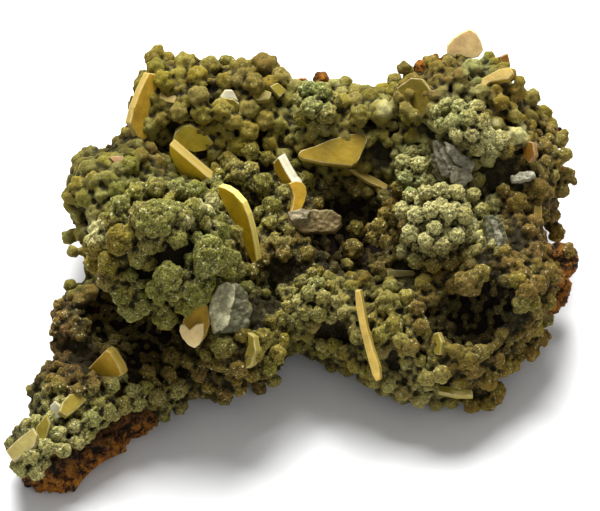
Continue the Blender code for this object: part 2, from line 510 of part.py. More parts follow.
class Face:
    """The base of the crust, on which everything that grows is placed."""

    def __init__(self, rock):
        base = swollen(rock, CRUST_THICKNESS)
        bm = bmesh.new()
        bm.from_mesh(base.data)
        self.tree = BVHTree.FromBMesh(bm)
        self.points = [Vector((v.co.x, v.co.dot(UP), v.co.dot(OUT))) / MM for v in bm.verts]
        bm.free()
        bpy.data.objects.remove(base)

    def spot(self, across, up, lift=0.0):
        """The world point, in millimetres, that stands out of the base by lift at (across, up)."""
        seen = ACROSS * across + UP * up
        hit = self.tree.ray_cast((seen + OUT * 2 * CUT_REACH) * MM, -OUT)[0]
        if hit is not None:
            return hit / MM + OUT * lift
        rim = min(self.points, key=lambda p: (p.x - across) ** 2 + (p.y - up) ** 2)
        inward = Vector((rim.x - across, rim.y - up))
        inward *= max(0.0, 1 - RIM_INSET / inward.length)
        return ACROSS * (across + inward.x) + UP * (up + inward.y) + OUT * (rim.z + lift)

    def side(self, bearing, height):
        """The world point, in millimetres, of the base on this bearing and this high, or None."""
        way = Vector((math.cos(bearing), math.sin(bearing), 0.0))
        start = way * 2 * CUT_REACH + Vector((0.0, 0.0, height))
        hit = self.tree.ray_cast(start * MM, -way, 2 * CUT_REACH * MM)[0]
        return None if hit is None else hit / MM


def crust_floor():
    """A block of space above the line where the crust stops, with a wavy underside."""
    bm = bmesh.new()
    bmesh.ops.create_grid(
        bm, x_segments=FOOT_STEPS, y_segments=FOOT_STEPS, size=CUT_REACH * MM)
    wave_size, wave_depth = FOOT_WAVE
    for vertex in bm.verts:
        x, y = vertex.co.x / MM, vertex.co.y / MM
        weights = [1 / ((x - cx) ** 2 + (y - cy) ** 2 + 4.0) ** 1.5 for cx, cy, _ in CRUST_FOOT]
        height = sum(w * point[2] for w, point in zip(weights, CRUST_FOOT)) / sum(weights)
        wave = wave_depth * noise.noise(vertex.co / (wave_size * MM))
        vertex.co.z = (height + wave) * MM
    bmesh.ops.reverse_faces(bm, faces=bm.faces)
    raised = bmesh.ops.extrude_face_region(bm, geom=list(bm.faces))["geom"]
    for item in raised:
        if isinstance(item, bmesh.types.BMVert):
            item.co.z = CUT_REACH * MM
    bmesh.ops.recalc_face_normals(bm, faces=bm.faces)
    return add_object("crust_floor", mesh_of(bm))


def back_lumps(face):
    """Centres and radii of the lumps on the hidden side, where the crust reaches that height."""
    first, last, step = BACK_BEARINGS
    for ring, (height, radius) in enumerate(BACK_RINGS):
        for degrees in range(first + ring * step // 2, last, step):
            waver = noise.noise(Vector((degrees * 0.37, height, 0.5)))
            place = face.side(math.radians(degrees + 0.3 * step * waver), height + 0.8 * waver)
            if place is not None:
                yield place, (radius * (1 + 0.35 * waver),) * 3


def make_crust(rock, face):
    """The botryoidal coat: the rock's swollen skin and the lumps on it, less the rock itself."""
    coat = swollen(rock, CRUST_THICKNESS)
    seen = [(face.spot(across, up, LUMP_LIFT * radius), (LUMP_GROWTH * radius,) * 3)
            for across, up, radius in CRUST_LUMPS]
    lumps = balls("lumps", seen + list(back_lumps(face)))
    bm = bmesh.new()
    bm.from_mesh(coat.data)
    bm.from_mesh(lumps.data)
    bpy.data.objects.remove(lumps)
    bpy.data.objects.remove(coat)
    ground = thinned(skinned(add_object("ground", mesh_of(bm)), SKIN_VOXEL), CRUST_TRIANGLES)
    crust = add_object("crust", ground.data.copy())
    booleaned(crust, crust_floor(), "INTERSECT")
    booleaned(crust, swollen(rock, GAP), "DIFFERENCE")
    booleaned(crust, vug_balls(BARE_MARGIN), "DIFFERENCE")
    return largest_shell(crust), ground


def lobes_of(knob, face):
    """Centres and radii, in millimetres, of a knob's core and lobes."""
    centre = face.spot(*knob["core"])
    middle_across, middle_up, middle_out = centre.dot(ACROSS), centre.dot(UP), centre.dot(OUT)
    found = [(centre, (knob["core_radius"],) * 3)]
    for across, up, radius, sink in knob["lobes"]:
        flat = min(1.0, math.hypot(across - middle_across, up - middle_up) / knob["reach"])
        out = middle_out + knob["reach"] * math.sqrt(1 - flat * flat) - sink
        found.append((ACROSS * across + UP * up + OUT * out, (radius,) * 3))
    return found


def seat(obj, neighbours):
    """Trims a piece where it would enter its neighbours, with a small clearance."""
    for other in neighbours:
        booleaned(obj, swollen(other, GAP), "DIFFERENCE")
        largest_shell(obj)
    return obj


def make_knob(name, knob, face):
    obj = skinned(balls(name, lobes_of(knob, face)), SKIN_VOXEL)
    return thinned(obj, knob["triangles"])


def close_loops(bm, loops):
    """Walls between one ring of corners and the next, and a cap on each end."""
    for low, high in zip(loops, loops[1:]):
        for i in range(len(low)):
            j = (i + 1) % len(low)
            bm.faces.new((low[i], low[j], high[j], high[i]))
    bm.faces.new(reversed(loops[0]))
    bm.faces.new(loops[-1])


def make_calcite(name, prisms, face):
    """Six-sided prisms with blunt pointed ends, joined where they cross."""
    made = None
    for place, axis, radius, length in prisms:
        bm = bmesh.new()
        loops = []
        for along, share in PRISM_RINGS:
            loop = []
            for side in range(PRISM_SIDES):
                angle = math.tau * side / PRISM_SIDES
                x = share * radius * math.cos(angle)
                y = share * radius * math.sin(angle) * PRISM_FLATNESS
                loop.append(bm.verts.new(Vector((x, y, along * length / 2)) * MM))
            loops.append(loop)
        close_loops(bm, loops)
        turn = turned(axis).to_track_quat("Z", "Y").to_matrix().to_4x4()
        bm.transform(Matrix.Translation(face.spot(*place) * MM) @ turn)
        prism = add_object(name, mesh_of(bm))
        made = prism if made is None else booleaned(made, prism, "UNION")
    return made


def make_tablet(name, shape, face):
    """A square tablet with cut corners and bevelled rims."""
    place, long_way, normal, (length, width, thickness), corner = shape
    cut = corner * width
    half = thickness / 2
    rim = RIM_SHARE * thickness
    levels = [(0.0, -half), (0.0, half)]
    if length > LARGE_TABLET:
        levels[1:] = [(0.0, half - rim), (rim, half)]
    bm = bmesh.new()
    loops = []
    for inset, z in levels:
        x, y = length / 2 - inset, width / 2 - inset
        corners = (
            (cut - x, -y), (x - cut, -y), (x, cut - y), (x, y - cut),
            (x - cut, y), (cut - x, y), (-x, y - cut), (-x, cut - y),
        )
        loops.append([bm.verts.new(Vector((*corner_at, z)) * MM) for corner_at in corners])
    close_loops(bm, loops)
    z_axis = turned(normal)
    x_axis = turned(long_way)
    x_axis = (x_axis - z_axis * x_axis.dot(z_axis)).normalized()
    y_axis = z_axis.cross(x_axis)
    turn = Matrix((x_axis, y_axis, z_axis)).transposed().to_4x4()
    bm.transform(Matrix.Translation(face.spot(*place) * MM) @ turn)
    return add_object(name, mesh_of(bm))


def main():
    clear_scene()
    rock = make_rock()
    face = Face(rock)
    crust, ground = make_crust(rock, face)
    placed = [ground]
    finish(rock, "limonite_matrix", RUST, 0.9)
    finish(crust, "mimetite_crust", OLIVE, 0.6)
    for name, knob in KNOBS.items():
        piece = seat(make_knob(name, knob, face), placed)
        placed.append(finish(piece, name, OLIVE, 0.6))
    for name, prisms in CALCITES.items():
        piece = seat(make_calcite(name, prisms, face), placed)
        placed.append(finish(piece, name, GREY, 0.35))
    for name, shape in TABLETS.items():
        piece = seat(make_tablet(name, shape, face), placed)
        placed.append(finish(piece, name, HONEY, 0.25))
    bpy.data.objects.remove(ground)


if __name__ == "__main__":
    main()
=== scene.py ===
"""Dresses the wulfenite and mimetite specimen: rough limonite under a drusy botryoidal crust of
olive mimetite, thin honey wulfenite tablets and a little grey calcite, on a pale floor.

Units in the tables are millimetres. A place is given as it is met on the display face: across
to the right, up the face, and lift, the distance that it stands out of the crust's base towards
a viewer who looks down at VIEW_TILT. Directions are given in the same frame, as (across, up, out).
"""

import math

import bpy
import numpy as np
from bpy.props import FloatProperty, FloatVectorProperty, PointerProperty
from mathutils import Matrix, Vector, kdtree
from mathutils.bvhtree import BVHTree


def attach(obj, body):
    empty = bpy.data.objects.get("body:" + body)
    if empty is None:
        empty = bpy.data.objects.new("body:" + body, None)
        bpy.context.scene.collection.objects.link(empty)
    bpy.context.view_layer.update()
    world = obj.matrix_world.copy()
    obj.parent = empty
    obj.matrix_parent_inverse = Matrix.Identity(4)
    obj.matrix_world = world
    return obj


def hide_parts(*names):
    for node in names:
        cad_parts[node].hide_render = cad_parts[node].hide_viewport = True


bl_info = {
    "name": "Wulfenite and Mimetite Specimen",
    "version": (1, 0, 0),
    "blender": (4, 5, 0),
    "location": "3D View > Sidebar > Specimen",
    "description": "Rock, crust, knobs and crystals of a wulfenite and mimetite specimen",
    "category": "Object",
}

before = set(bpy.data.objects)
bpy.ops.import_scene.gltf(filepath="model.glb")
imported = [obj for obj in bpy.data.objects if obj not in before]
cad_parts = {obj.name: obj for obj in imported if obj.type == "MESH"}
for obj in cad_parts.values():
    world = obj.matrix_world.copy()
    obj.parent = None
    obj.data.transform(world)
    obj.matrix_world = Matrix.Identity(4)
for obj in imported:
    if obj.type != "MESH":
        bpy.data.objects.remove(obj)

MM = 0.001
VIEW_TILT = math.radians(50.0)
OUT = Vector((0.0, -math.cos(VIEW_TILT), math.sin(VIEW_TILT)))
UP = Vector((0.0, math.sin(VIEW_TILT), math.cos(VIEW_TILT)))
ACROSS = Vector((1.0, 0.0, 0.0))
GOLDEN_ANGLE = math.pi * (3.0 - math.sqrt(5.0))

# How far off a line of sight starts, and how far inside the outline a place beyond it is put.
FAR = 120.0
RIM_INSET = 1.1
# How far a lump stands out of the base, as a share of its radius, and how far out its top is.
LUMP_LIFT = 0.45
LIFT_SPAN = 1.1
# Depth of the clefts between the small lobes, as a share of their radius.
CRUST_CLEFT = 0.40
KNOB_CLEFT = 0.32
# In a dark pocket the lumps are this much smaller, and sink this far.
POCKET_SIZE = 0.6
POCKET_SINK = 0.75
# How many places are tried: on the crust, those of them for the smallest lumps, on the walls of
# the hollows, and in the gaps of a knob.
CRUST_TRIES = 70000
SMALL_TRIES = 18000
HOLLOW_TRIES = 26000
FILLING_TRIES = 1500
# Smallest radius of the lumps that are sown, and how much more it can be.
SOWN_RADIUS = (0.55, 0.55)
SMALL_RADIUS = (0.36, 0.16)
WALL_RADIUS = (0.50, 0.40)
HOLLOW_RADIUS = (0.35, 0.45)
# Smallest and largest radius of the lobes that fill the gaps of a knob.
FILLING_RADIUS = (0.5, 0.8)
# How near two lumps can be, as a share of their radii together.
CRUST_NEARNESS = 0.62
HOLLOW_NEARNESS = 0.80
FILLING_NEARNESS = 0.66
# How much wider than the notches of the outline the rock's and the lumps' own notches are.
ROCK_MARGIN = 0.4
NOTCH_MARGIN = 0.5
WALL_MARGIN = -0.6
# How far the coat dips under the bare rock, how near it comes to the table, and how many of its
# corners share a tint.
COAT_DIP = 0.9
COAT_LOWEST = 0.1
COAT_PATCH = 40
# How far out of a vug's middle its walls and the lumps on them reach, as a share of its radii.
VUG_REACH = 1.12
# How much smaller the core of a knob is than its solid's.
CORE_SINK = 0.9

# Roughness of each kind of piece, as patterns that push its surface in and out: the pattern, its
# size, its strength and the value that stays in place.
ROCK_ROUGHNESS = (("CLOUDS", 3.2, 1.3, 0.5), ("CLOUDS", 0.9, 0.75, 0.5), ("VORONOI", 0.8, -0.6, 0.4))
EDGE_ROUGHNESS = (("CLOUDS", 1.1, 0.7, 0.5), ("VORONOI", 0.5, -0.3, 0.4))
COAT_ROUGHNESS = (("VORONOI", 1.0, -0.7, 0.4),)
KNOB_ROUGHNESS = (("CLOUDS", 0.9, 0.26, 0.5), ("VORONOI", 0.34, -0.15, 0.4))
CALCITE_ROUGHNESS = (("CLOUDS", 1.6, 0.40, 0.5), ("CLOUDS", 0.40, 0.22, 0.5))

# The light: how strongly the sky shines on the specimen, how bright it is behind it, the point
# that the lamps face, and each lamp's name, direction, distance, width and power.
SKY_LIGHT = 0.33
SKY_SEEN = 1.0
LIT_POINT = (0.0, -4.0, 8.0)
LAMPS = (
    ("key", (-0.08, 0.66, 1.0), 0.50, 0.34, 6.0),
    ("fill", (0.25, -0.8, 0.75), 0.60, 0.50, 0.35),
)
FLOOR_SIZE = 3.0
FLOOR_SINK = 0.02
# The camera: how far off it is and the width that it sees, in metres, and how far up the display
# face it points, in millimetres.
CAMERA_REACH = 1.60
CAMERA_WIDTH = 0.060
CAMERA_UP = 0.55
SENSOR_WIDTH = 36.0

# Hollows of the rock: across, up, height above the table, then the radii along X, Y and Z, and
# the lift of the lumps on their walls, which sets their painted shade: the higher, the lighter.
VUGS = (
    (-18.2, -5.2, 9.5, 4.2, 4.2, 5.0, 0.56),
    (-14.0, -8.2, 8.5, 4.6, 3.8, 4.0, 0.52),
    (5.4, 3.6, 11.5, 5.2, 5.6, 5.6, 0.34),
    (16.8, -4.6, 12.5, 5.6, 4.4, 5.4, 0.38),
    (21.4, 7.0, 17.5, 3.2, 3.0, 4.0, 0.40),
    (-13.4, 11.9, 16.5, 2.8, 2.6, 3.4, 0.40),
)

# Lumps of the crust: across, up, radius, and how far one is raised where it grew on a tablet.
CRUST_LUMPS = (
    # the ridge along the upper left
    (-14.8, 21.9, 0.8), (-15.1, 20.3, 1.0), (-14.3, 19.2, 1.1), (-13.2, 20.2, 0.8),
    (-11.3, 19.7, 1.3), (-9.0, 19.3, 1.2), (-10.2, 18.4, 1.1), (-12.2, 18.5, 1.0),
    (-13.5, 17.9, 1.1), (-12.0, 17.2, 1.0), (-5.9, 18.8, 1.5), (-3.5, 19.3, 1.6),
    (-4.6, 17.6, 1.2), (-2.0, 18.2, 1.1), (-10.1, 16.3, 1.2), (-12.0, 14.7, 1.1),
    (-9.7, 14.7, 1.2), (-7.7, 15.0, 1.2), (-5.1, 15.1, 1.1), (-5.2, 13.0, 1.2),
    (-6.6, 13.8, 1.0), (-3.6, 14.0, 1.1), (-6.0, 11.4, 1.1), (-7.2, 10.0, 1.0),
    (-8.6, 10.6, 0.8), (-2.2, 13.4, 1.1), (-3.0, 11.8, 1.0), (-0.6, 17.4, 0.9),
    # the ridge along the upper right
    (4.6, 17.7, 0.8), (3.3, 17.6, 0.7), (4.3, 15.9, 0.9), (5.6, 16.8, 0.9),
    (5.9, 14.4, 1.2), (8.0, 14.8, 1.3), (7.0, 16.4, 0.9), (10.4, 19.2, 0.8),
    (9.5, 18.0, 0.9), (11.2, 17.9, 0.9), (10.7, 14.2, 0.8), (13.0, 19.6, 1.0),
    (14.8, 19.6, 0.9), (17.2, 19.2, 1.1), (18.8, 20.2, 0.8), (16.0, 18.4, 0.9),
    (20.2, 18.6, 0.9), (21.5, 16.8, 1.0), (23.0, 16.3, 1.0), (18.0, 16.8, 0.8),
    (20.0, 15.7, 0.9), (21.2, 14.4, 0.8), (24.4, 14.8, 0.9), (25.1, 13.4, 0.9),
    (25.9, 12.0, 0.9), (26.8, 10.6, 0.8), (26.8, 8.8, 0.8), (26.0, 7.0, 0.9),
    (25.2, 10.9, 0.7), (25.6, 9.7, 0.7), (25.2, 8.5, 0.7), (26.7, 9.7, 0.5), (27.2, 7.9, 0.5),
    (26.6, 12.9, 0.5), (24.8, 12.2, 0.6), (24.4, 10.0, 0.6), (19.5, 19.6, 0.8), (20.3, 19.3, 0.7),
    (21.0, 18.5, 0.7), (21.8, 17.8, 0.7), (9.9, 16.9, 0.8), (9.6, 15.6, 0.8),
    (10.4, 17.4, 0.7, 1.0), (10.0, 16.3, 0.8, 1.1), (10.5, 15.2, 0.8, 1.1), (11.3, 14.5, 0.7, 1.0),
    (10.9, 16.6, 0.6, 1.3),
    (24.6, 6.8, 0.8), (25.2, 4.6, 0.9), (21.4, 12.4, 1.0), (19.2, 5.7, 1.0),
    (21.4, 5.8, 1.3), (20.2, 7.0, 0.8), (25.6, 2.8, 1.0), (26.9, 1.4, 0.9),
    # the right side and the lower right
    (22.4, -3.0, 1.3), (21.4, -1.9, 1.0), (23.5, -2.2, 1.0), (23.0, -4.1, 1.0),
    (21.8, -4.3, 1.0), (25.0, -1.4, 1.1), (24.6, -4.0, 0.9), (24.4, -5.8, 0.9),
    (24.0, -7.6, 1.0), (22.8, -9.0, 1.0), (22.7, -6.8, 0.9), (21.0, -10.2, 1.0),
    (20.0, -10.5, 1.1), (18.6, -11.6, 1.3), (19.5, -12.8, 1.0), (16.6, -9.7, 1.3),
    (15.5, -9.0, 0.9), (17.8, -9.0, 1.0), (17.0, -10.8, 1.0), (14.0, -11.2, 1.0),
    (12.5, -11.5, 1.0), (15.0, -13.8, 0.9), (10.3, -13.0, 1.0), (8.8, -12.3, 0.9),
    (11.8, -13.6, 1.0), (13.5, -14.1, 0.9), (17.0, -14.2, 1.0), (18.7, -14.2, 0.9),
    (20.0, -13.9, 0.8), (7.2, -11.0, 0.9), (5.5, -10.3, 0.9), (4.5, -9.0, 0.9),
    (3.4, -8.3, 0.9), (2.2, -8.3, 0.8), (8.0, -7.2, 1.0), (9.2, -6.4, 1.1),
    (7.2, -5.7, 0.6), (8.8, -4.3, 1.5), (9.0, -2.6, 0.9), (10.5, -3.6, 1.0),
    (10.9, -8.5, 1.0), (11.5, -4.7, 1.0), (9.8, -7.8, 0.9), (12.0, -6.5, 0.9),
    (12.2, -2.2, 1.0), (13.8, -1.7, 1.0), (15.2, -2.4, 0.9), (16.6, -2.2, 1.5),
    (18.0, -1.2, 1.0), (5.5, 3.1, 1.0), (5.2, 1.1, 1.2), (4.6, -0.5, 0.8),
    # the left end
    (-20.9, 9.2, 1.0), (-19.6, 9.8, 0.8), (-22.0, 7.5, 1.1), (-20.5, 8.0, 1.0),
    (-19.0, 8.2, 1.0), (-22.8, 6.4, 0.8), (-21.2, 6.3, 1.1), (-19.7, 6.5, 1.0),
    (-18.2, 7.0, 1.0), (-22.0, 4.7, 1.0), (-20.3, 4.8, 1.0), (-18.8, 5.2, 0.9),
    (-23.0, 2.4, 0.9), (-21.6, 2.8, 1.0), (-20.2, 3.2, 0.9), (-22.6, 1.0, 0.7),
    (-17.0, 9.4, 1.1), (-15.8, 10.4, 0.9), (-18.0, 9.0, 0.9), (-22.8, -2.4, 0.7),
    (-23.8, -4.4, 0.8), (-24.0, -6.2, 0.7), (-23.2, -5.4, 0.7), (-24.2, -8.4, 0.7),
    (-24.0, -10.4, 0.6), (-24.9, -12.7, 0.7), (-21.2, -6.2, 0.7), (-21.6, -7.6, 0.6),
    # the foot at the lower left
    (-22.0, -12.8, 0.9), (-20.4, -12.4, 0.9), (-18.5, -12.2, 0.9), (-16.6, -13.0, 1.0),
    (-17.8, -11.2, 0.9), (-15.2, -12.5, 0.9), (-14.1, -13.4, 1.0), (-12.2, -12.6, 1.2),
    (-13.0, -11.2, 0.9), (-12.6, -9.5, 1.2), (-15.0, -11.0, 0.9), (-26.0, -15.9, 0.9),
    (-24.5, -15.4, 0.9), (-23.8, -17.1, 1.0), (-22.2, -16.4, 0.9), (-20.5, -15.6, 1.0),
    (-19.0, -14.9, 1.0), (-17.4, -14.2, 1.0), (-16.0, -14.1, 0.9), (-25.0, -18.4, 1.0),
    (-26.5, -19.3, 1.0), (-27.4, -20.4, 1.0), (-26.0, -20.8, 0.9), (-23.4, -18.6, 0.9),
    (-22.0, -17.9, 0.9),
    # between the large knob and the lower edge
    (-10.0, -11.2, 0.9), (-9.0, -12.3, 0.9), (-7.5, -13.0, 0.9), (-6.0, -12.6, 0.9),
    (-4.0, -12.6, 0.8), (-2.6, -11.8, 0.8), (-10.6, -13.0, 0.9), (-11.0, -10.0, 0.9),
    (-1.6, 0.7, 0.9), (-2.1, 1.8, 0.8), (-2.8, 5.4, 1.1), (-3.7, 7.6, 1.3),
    (-1.6, 6.6, 1.2), (-3.2, 6.0, 0.9), (-6.4, 8.8, 1.4), (-7.8, 8.4, 1.0),
    (-4.9, 9.0, 1.0), (-5.1, 11.0, 1.1), (-6.3, 11.3, 1.0), (-3.3, 10.2, 0.9),
    (-3.8, 0.2, 0.9), (-5.0, -1.0, 0.9), (-1.0, 3.0, 0.8), (0.6, 8.0, 1.0),
)

# The crust is grown in regions, each named for where its lumps are: across, up.
CRUST_REGIONS = {
    "crust_upper_left": (-10.0, 16.5),
    "crust_upper_middle": (1.5, 15.0),
    "crust_upper_right": (17.0, 16.0),
    "crust_left_end": (-20.5, 5.5),
    "crust_middle": (-3.0, 4.5),
    "crust_right_edge": (24.0, 5.0),
    "crust_right_middle": (14.5, 0.0),
    "crust_lower_right": (18.0, -9.0),
    "crust_lower_middle": (7.5, -8.5),
    "crust_foot": (-21.0, -14.0),
    "crust_under_knob": (-9.5, -9.5),
}
# The regions of the hidden side: across.
HIDDEN_REGIONS = {
    "crust_back_left": -14.0,
    "crust_back_middle": 2.0,
    "crust_back_right": 18.0,
}

# How much the fine crystals show on the crust, and in the regions where that differs.
CRUST_DRUSE = 0.70
DRUSE_SHARES = {
    "crust_middle": 1.0, "crust_under_knob": 1.0, "crust_foot": 1.0, "crust_upper_left": 0.35,
    "crust_upper_middle": 0.35, "crust_upper_right": 0.35, "crust_left_end": 0.35,
}

# Tints of the growth, from the whole specimen down to single spots: across, up, the radius
# of the spot, then the shares of yellow, green, pale and brown.
GROWTH_TINTS = (
    (-8.0, 17.0, 8.0, 0.55, 0.0, 0.05, 0.14),
    (-4.5, 19.0, 3.0, 0.40, 0.0, 0.10, 0.35),
    (1.8, 15.6, 3.0, 0.55, 0.15, 0.25, 0.0),
    (1.4, 16.4, 1.3, 0.20, 0.55, 0.25, 0.0),
    (7.5, 15.0, 3.0, 0.60, 0.10, 0.15, 0.10),
    (13.5, 18.5, 3.2, 0.50, 0.0, 0.10, 0.45),
    (16.8, 13.2, 3.4, 0.40, 0.15, 0.65, 0.0),
    (23.5, 15.0, 4.0, 0.70, 0.0, 0.0, 0.40),
    (26.0, 9.0, 3.5, 0.55, 0.0, 0.15, 0.55),
    (22.5, 3.0, 4.0, 0.48, 0.0, 0.0, 0.68),
    (13.5, 3.2, 4.4, 0.30, 0.12, 0.88, 0.0),
    (8.0, 3.2, 1.7, 0.15, 0.0, 0.95, 0.10),
    (17.9, 3.6, 1.6, 0.20, 0.0, 0.85, 0.0),
    (17.8, 5.5, 1.4, 0.30, 0.0, 0.65, 0.0),
    (11.2, 9.5, 1.9, 0.20, 0.25, 0.55, 0.0),
    (10.8, 8.0, 0.9, 0.0, 1.0, 0.30, 0.0),
    (16.5, -8.0, 7.0, 0.58, 0.05, 0.0, 0.60),
    (8.8, -4.3, 3.0, 0.45, 0.05, 0.15, 0.15),
    (11.0, -13.5, 3.5, 0.45, 0.10, 0.30, 0.20),
    (24.5, -3.0, 2.6, 0.50, 0.0, 0.05, 0.55),
    (-20.5, 6.5, 4.5, 0.45, 0.10, 0.10, 0.15),
    (-13.4, 0.8, 7.8, 0.08, 0.10, 0.10, 0.05),
    (-19.6, 1.4, 2.6, 0.45, 0.0, 0.05, 0.25),
    (-20.4, 3.0, 1.0, 0.10, 0.0, 1.00, 0.0),
    (-8.6, 0.6, 2.6, 0.15, 0.20, 0.05, 0.0),
    (-8.9, 5.8, 0.7, 0.0, 0.0, 1.0, 0.0),
    (-10.8, 3.8, 0.5, 0.0, 0.0, 0.9, 0.0),
    (-8.6, 3.4, 0.5, 0.0, 0.0, 0.9, 0.0),
    (8.6, 15.2, 0.7, 0.0, 0.0, 1.0, 0.0),
    (17.6, 19.2, 1.2, 0.20, 0.50, 0.30, 0.0),
    (14.9, 14.4, 1.3, 0.10, 0.45, 0.50, 0.0),
    (18.7, 11.9, 1.3, 0.10, 0.0, 0.95, 0.0),
    (21.6, 12.6, 0.9, 0.10, 0.0, 0.90, 0.0),
    (14.8, 13.2, 0.5, 0.0, 0.0, 1.0, 0.0),
    (19.4, 13.4, 0.6, 0.0, 0.0, 0.9, 0.0),
    (-20.0, -14.5, 5.5, 0.50, 0.22, 0.30, 0.10),
    (-25.5, -18.5, 3.5, 0.40, 0.25, 0.50, 0.05),
    (-13.5, -12.5, 2.6, 0.35, 0.22, 0.20, 0.20),
    (-22.4, -8.0, 3.6, 0.30, 0.0, 0.0, 0.90),
    (-6.0, -9.5, 4.0, 0.40, 0.05, 0.10, 0.15),
    (-7.0, -12.8, 3.0, 0.35, 0.0, 0.05, 0.60),
    (1.3, -4.0, 2.6, 0.45, 0.10, 0.30, 0.15),
    (-2.6, 1.4, 3.0, 0.25, 0.10, 0.15, 0.45),
    (-3.6, 7.0, 3.0, 0.20, 0.05, 0.15, 0.10),
)

# The same shares where no spot reaches, those on the walls of the hollows, and how much they
# differ from one lump to the next.
USUAL_TINT = (0.4, 0.05, 0.08, 0.18)
HOLLOW_TINT = (0.15, 0.05, 0.0, 0.50)
TINT_SPREAD = (0.20, 0.04, 0.07, 0.12)

# Dark pockets between the clusters, where the lumps that fill the gaps are small and sunk:
# across, up, radius.
POCKETS = (
    (-5.6, -6.4, 2.0), (-3.6, -4.4, 1.6), (-1.8, -1.0, 1.6), (4.2, 1.0, 2.6), (5.6, 4.2, 2.8),
    (7.6, 10.6, 1.5), (10.6, -1.6, 1.7), (18.9, -0.4, 1.6), (21.8, 2.2, 1.3), (3.2, -7.4, 1.6),
    (-12.2, 13.4, 1.4), (-9.0, 16.8, 0.9), (-9.8, 11.0, 0.9), (20.6, 8.4, 2.0), (18.6, 6.6, 1.4),
    (16.8, -5.6, 3.4), (20.6, -4.8, 2.4), (-18.0, -5.4, 3.4), (-14.2, -8.0, 3.0), (-21.0, -9.0, 1.8),
    (-17.0, -9.6, 2.0), (7.0, 13.6, 1.0), (12.4, 13.0, 1.0), (-2.4, 8.6, 0.9), (-11.8, -10.2, 1.4),
    (0.4, -0.6, 1.0), (14.6, -12.0, 0.9), (9.2, -9.8, 0.9), (-22.0, -8.4, 1.2),
    (-16.4, -10.8, 1.4),
)

# Where the outline turns in, as round notches: across, up, radius.
NOTCHES = (
    (-20.6, 15.0, 4.4),
    (-31.0, -10.8, 5.3),
    (-33.0, -20.0, 4.0),
    (0.8, -12.3, 3.2),
    (-15.0, -27.0, 8.0),
)

# The lower edge of the crust along the foot, where the rock is bare below: across, up.
BARE_EDGE = ((-30.0, -22.4), (-27.0, -21.0), (-24.0, -19.0), (-20.0, -16.5),
             (-17.0, -14.7), (-13.5, -14.3))

# Where the bare rock is orange rather than dark: across, up, the radius of the spot, the share.
RUST_SPOTS = (
    (-21.0, -19.0, 6.0, 1.0),
    (-14.5, -15.5, 4.0, 1.0),
    (-27.0, -22.0, 4.0, 1.0),
    (26.5, -1.5, 3.0, 1.0),
    (1.5, 18.8, 3.5, 0.8),
    (13.0, 19.5, 3.0, 0.8),
    (-14.0, 13.0, 2.4, 0.8),
    (-23.5, -6.0, 3.0, 0.4),
    (-5.0, -13.0, 3.5, 0.3),
    (14.0, -14.0, 5.0, 0.3),
)

# The share of rust where no spot is, then the shares of rust and of black on the rusty edge.
LEAST_RUST = 0.12
EDGE_GROWTH = (0.90, 0.05, 0.0, 1.0)

# Bare rusty rock at the right edge and on the upper ridges: across, up, lift, radius.
RUSTY_EDGE = (
    (25.6, 0.6, -0.2, 1.3), (26.5, -0.6, -0.2, 1.3), (26.2, -2.2, -0.2, 1.3), (25.6, -3.6, -0.2, 1.1),
    (26.8, 0.7, -0.3, 0.9), (25.2, -1.6, -0.2, 1.1), (25.0, -4.4, -0.3, 0.9),
    (12.2, 19.3, 0.3, 0.9), (13.4, 20.0, 0.1, 0.8), (0.4, 18.3, 0.1, 0.7), (2.0, 18.2, 0.1, 0.8),
    (25.6, 12.6, 0.0, 0.8), (26.4, 9.4, 0.0, 0.8),
)

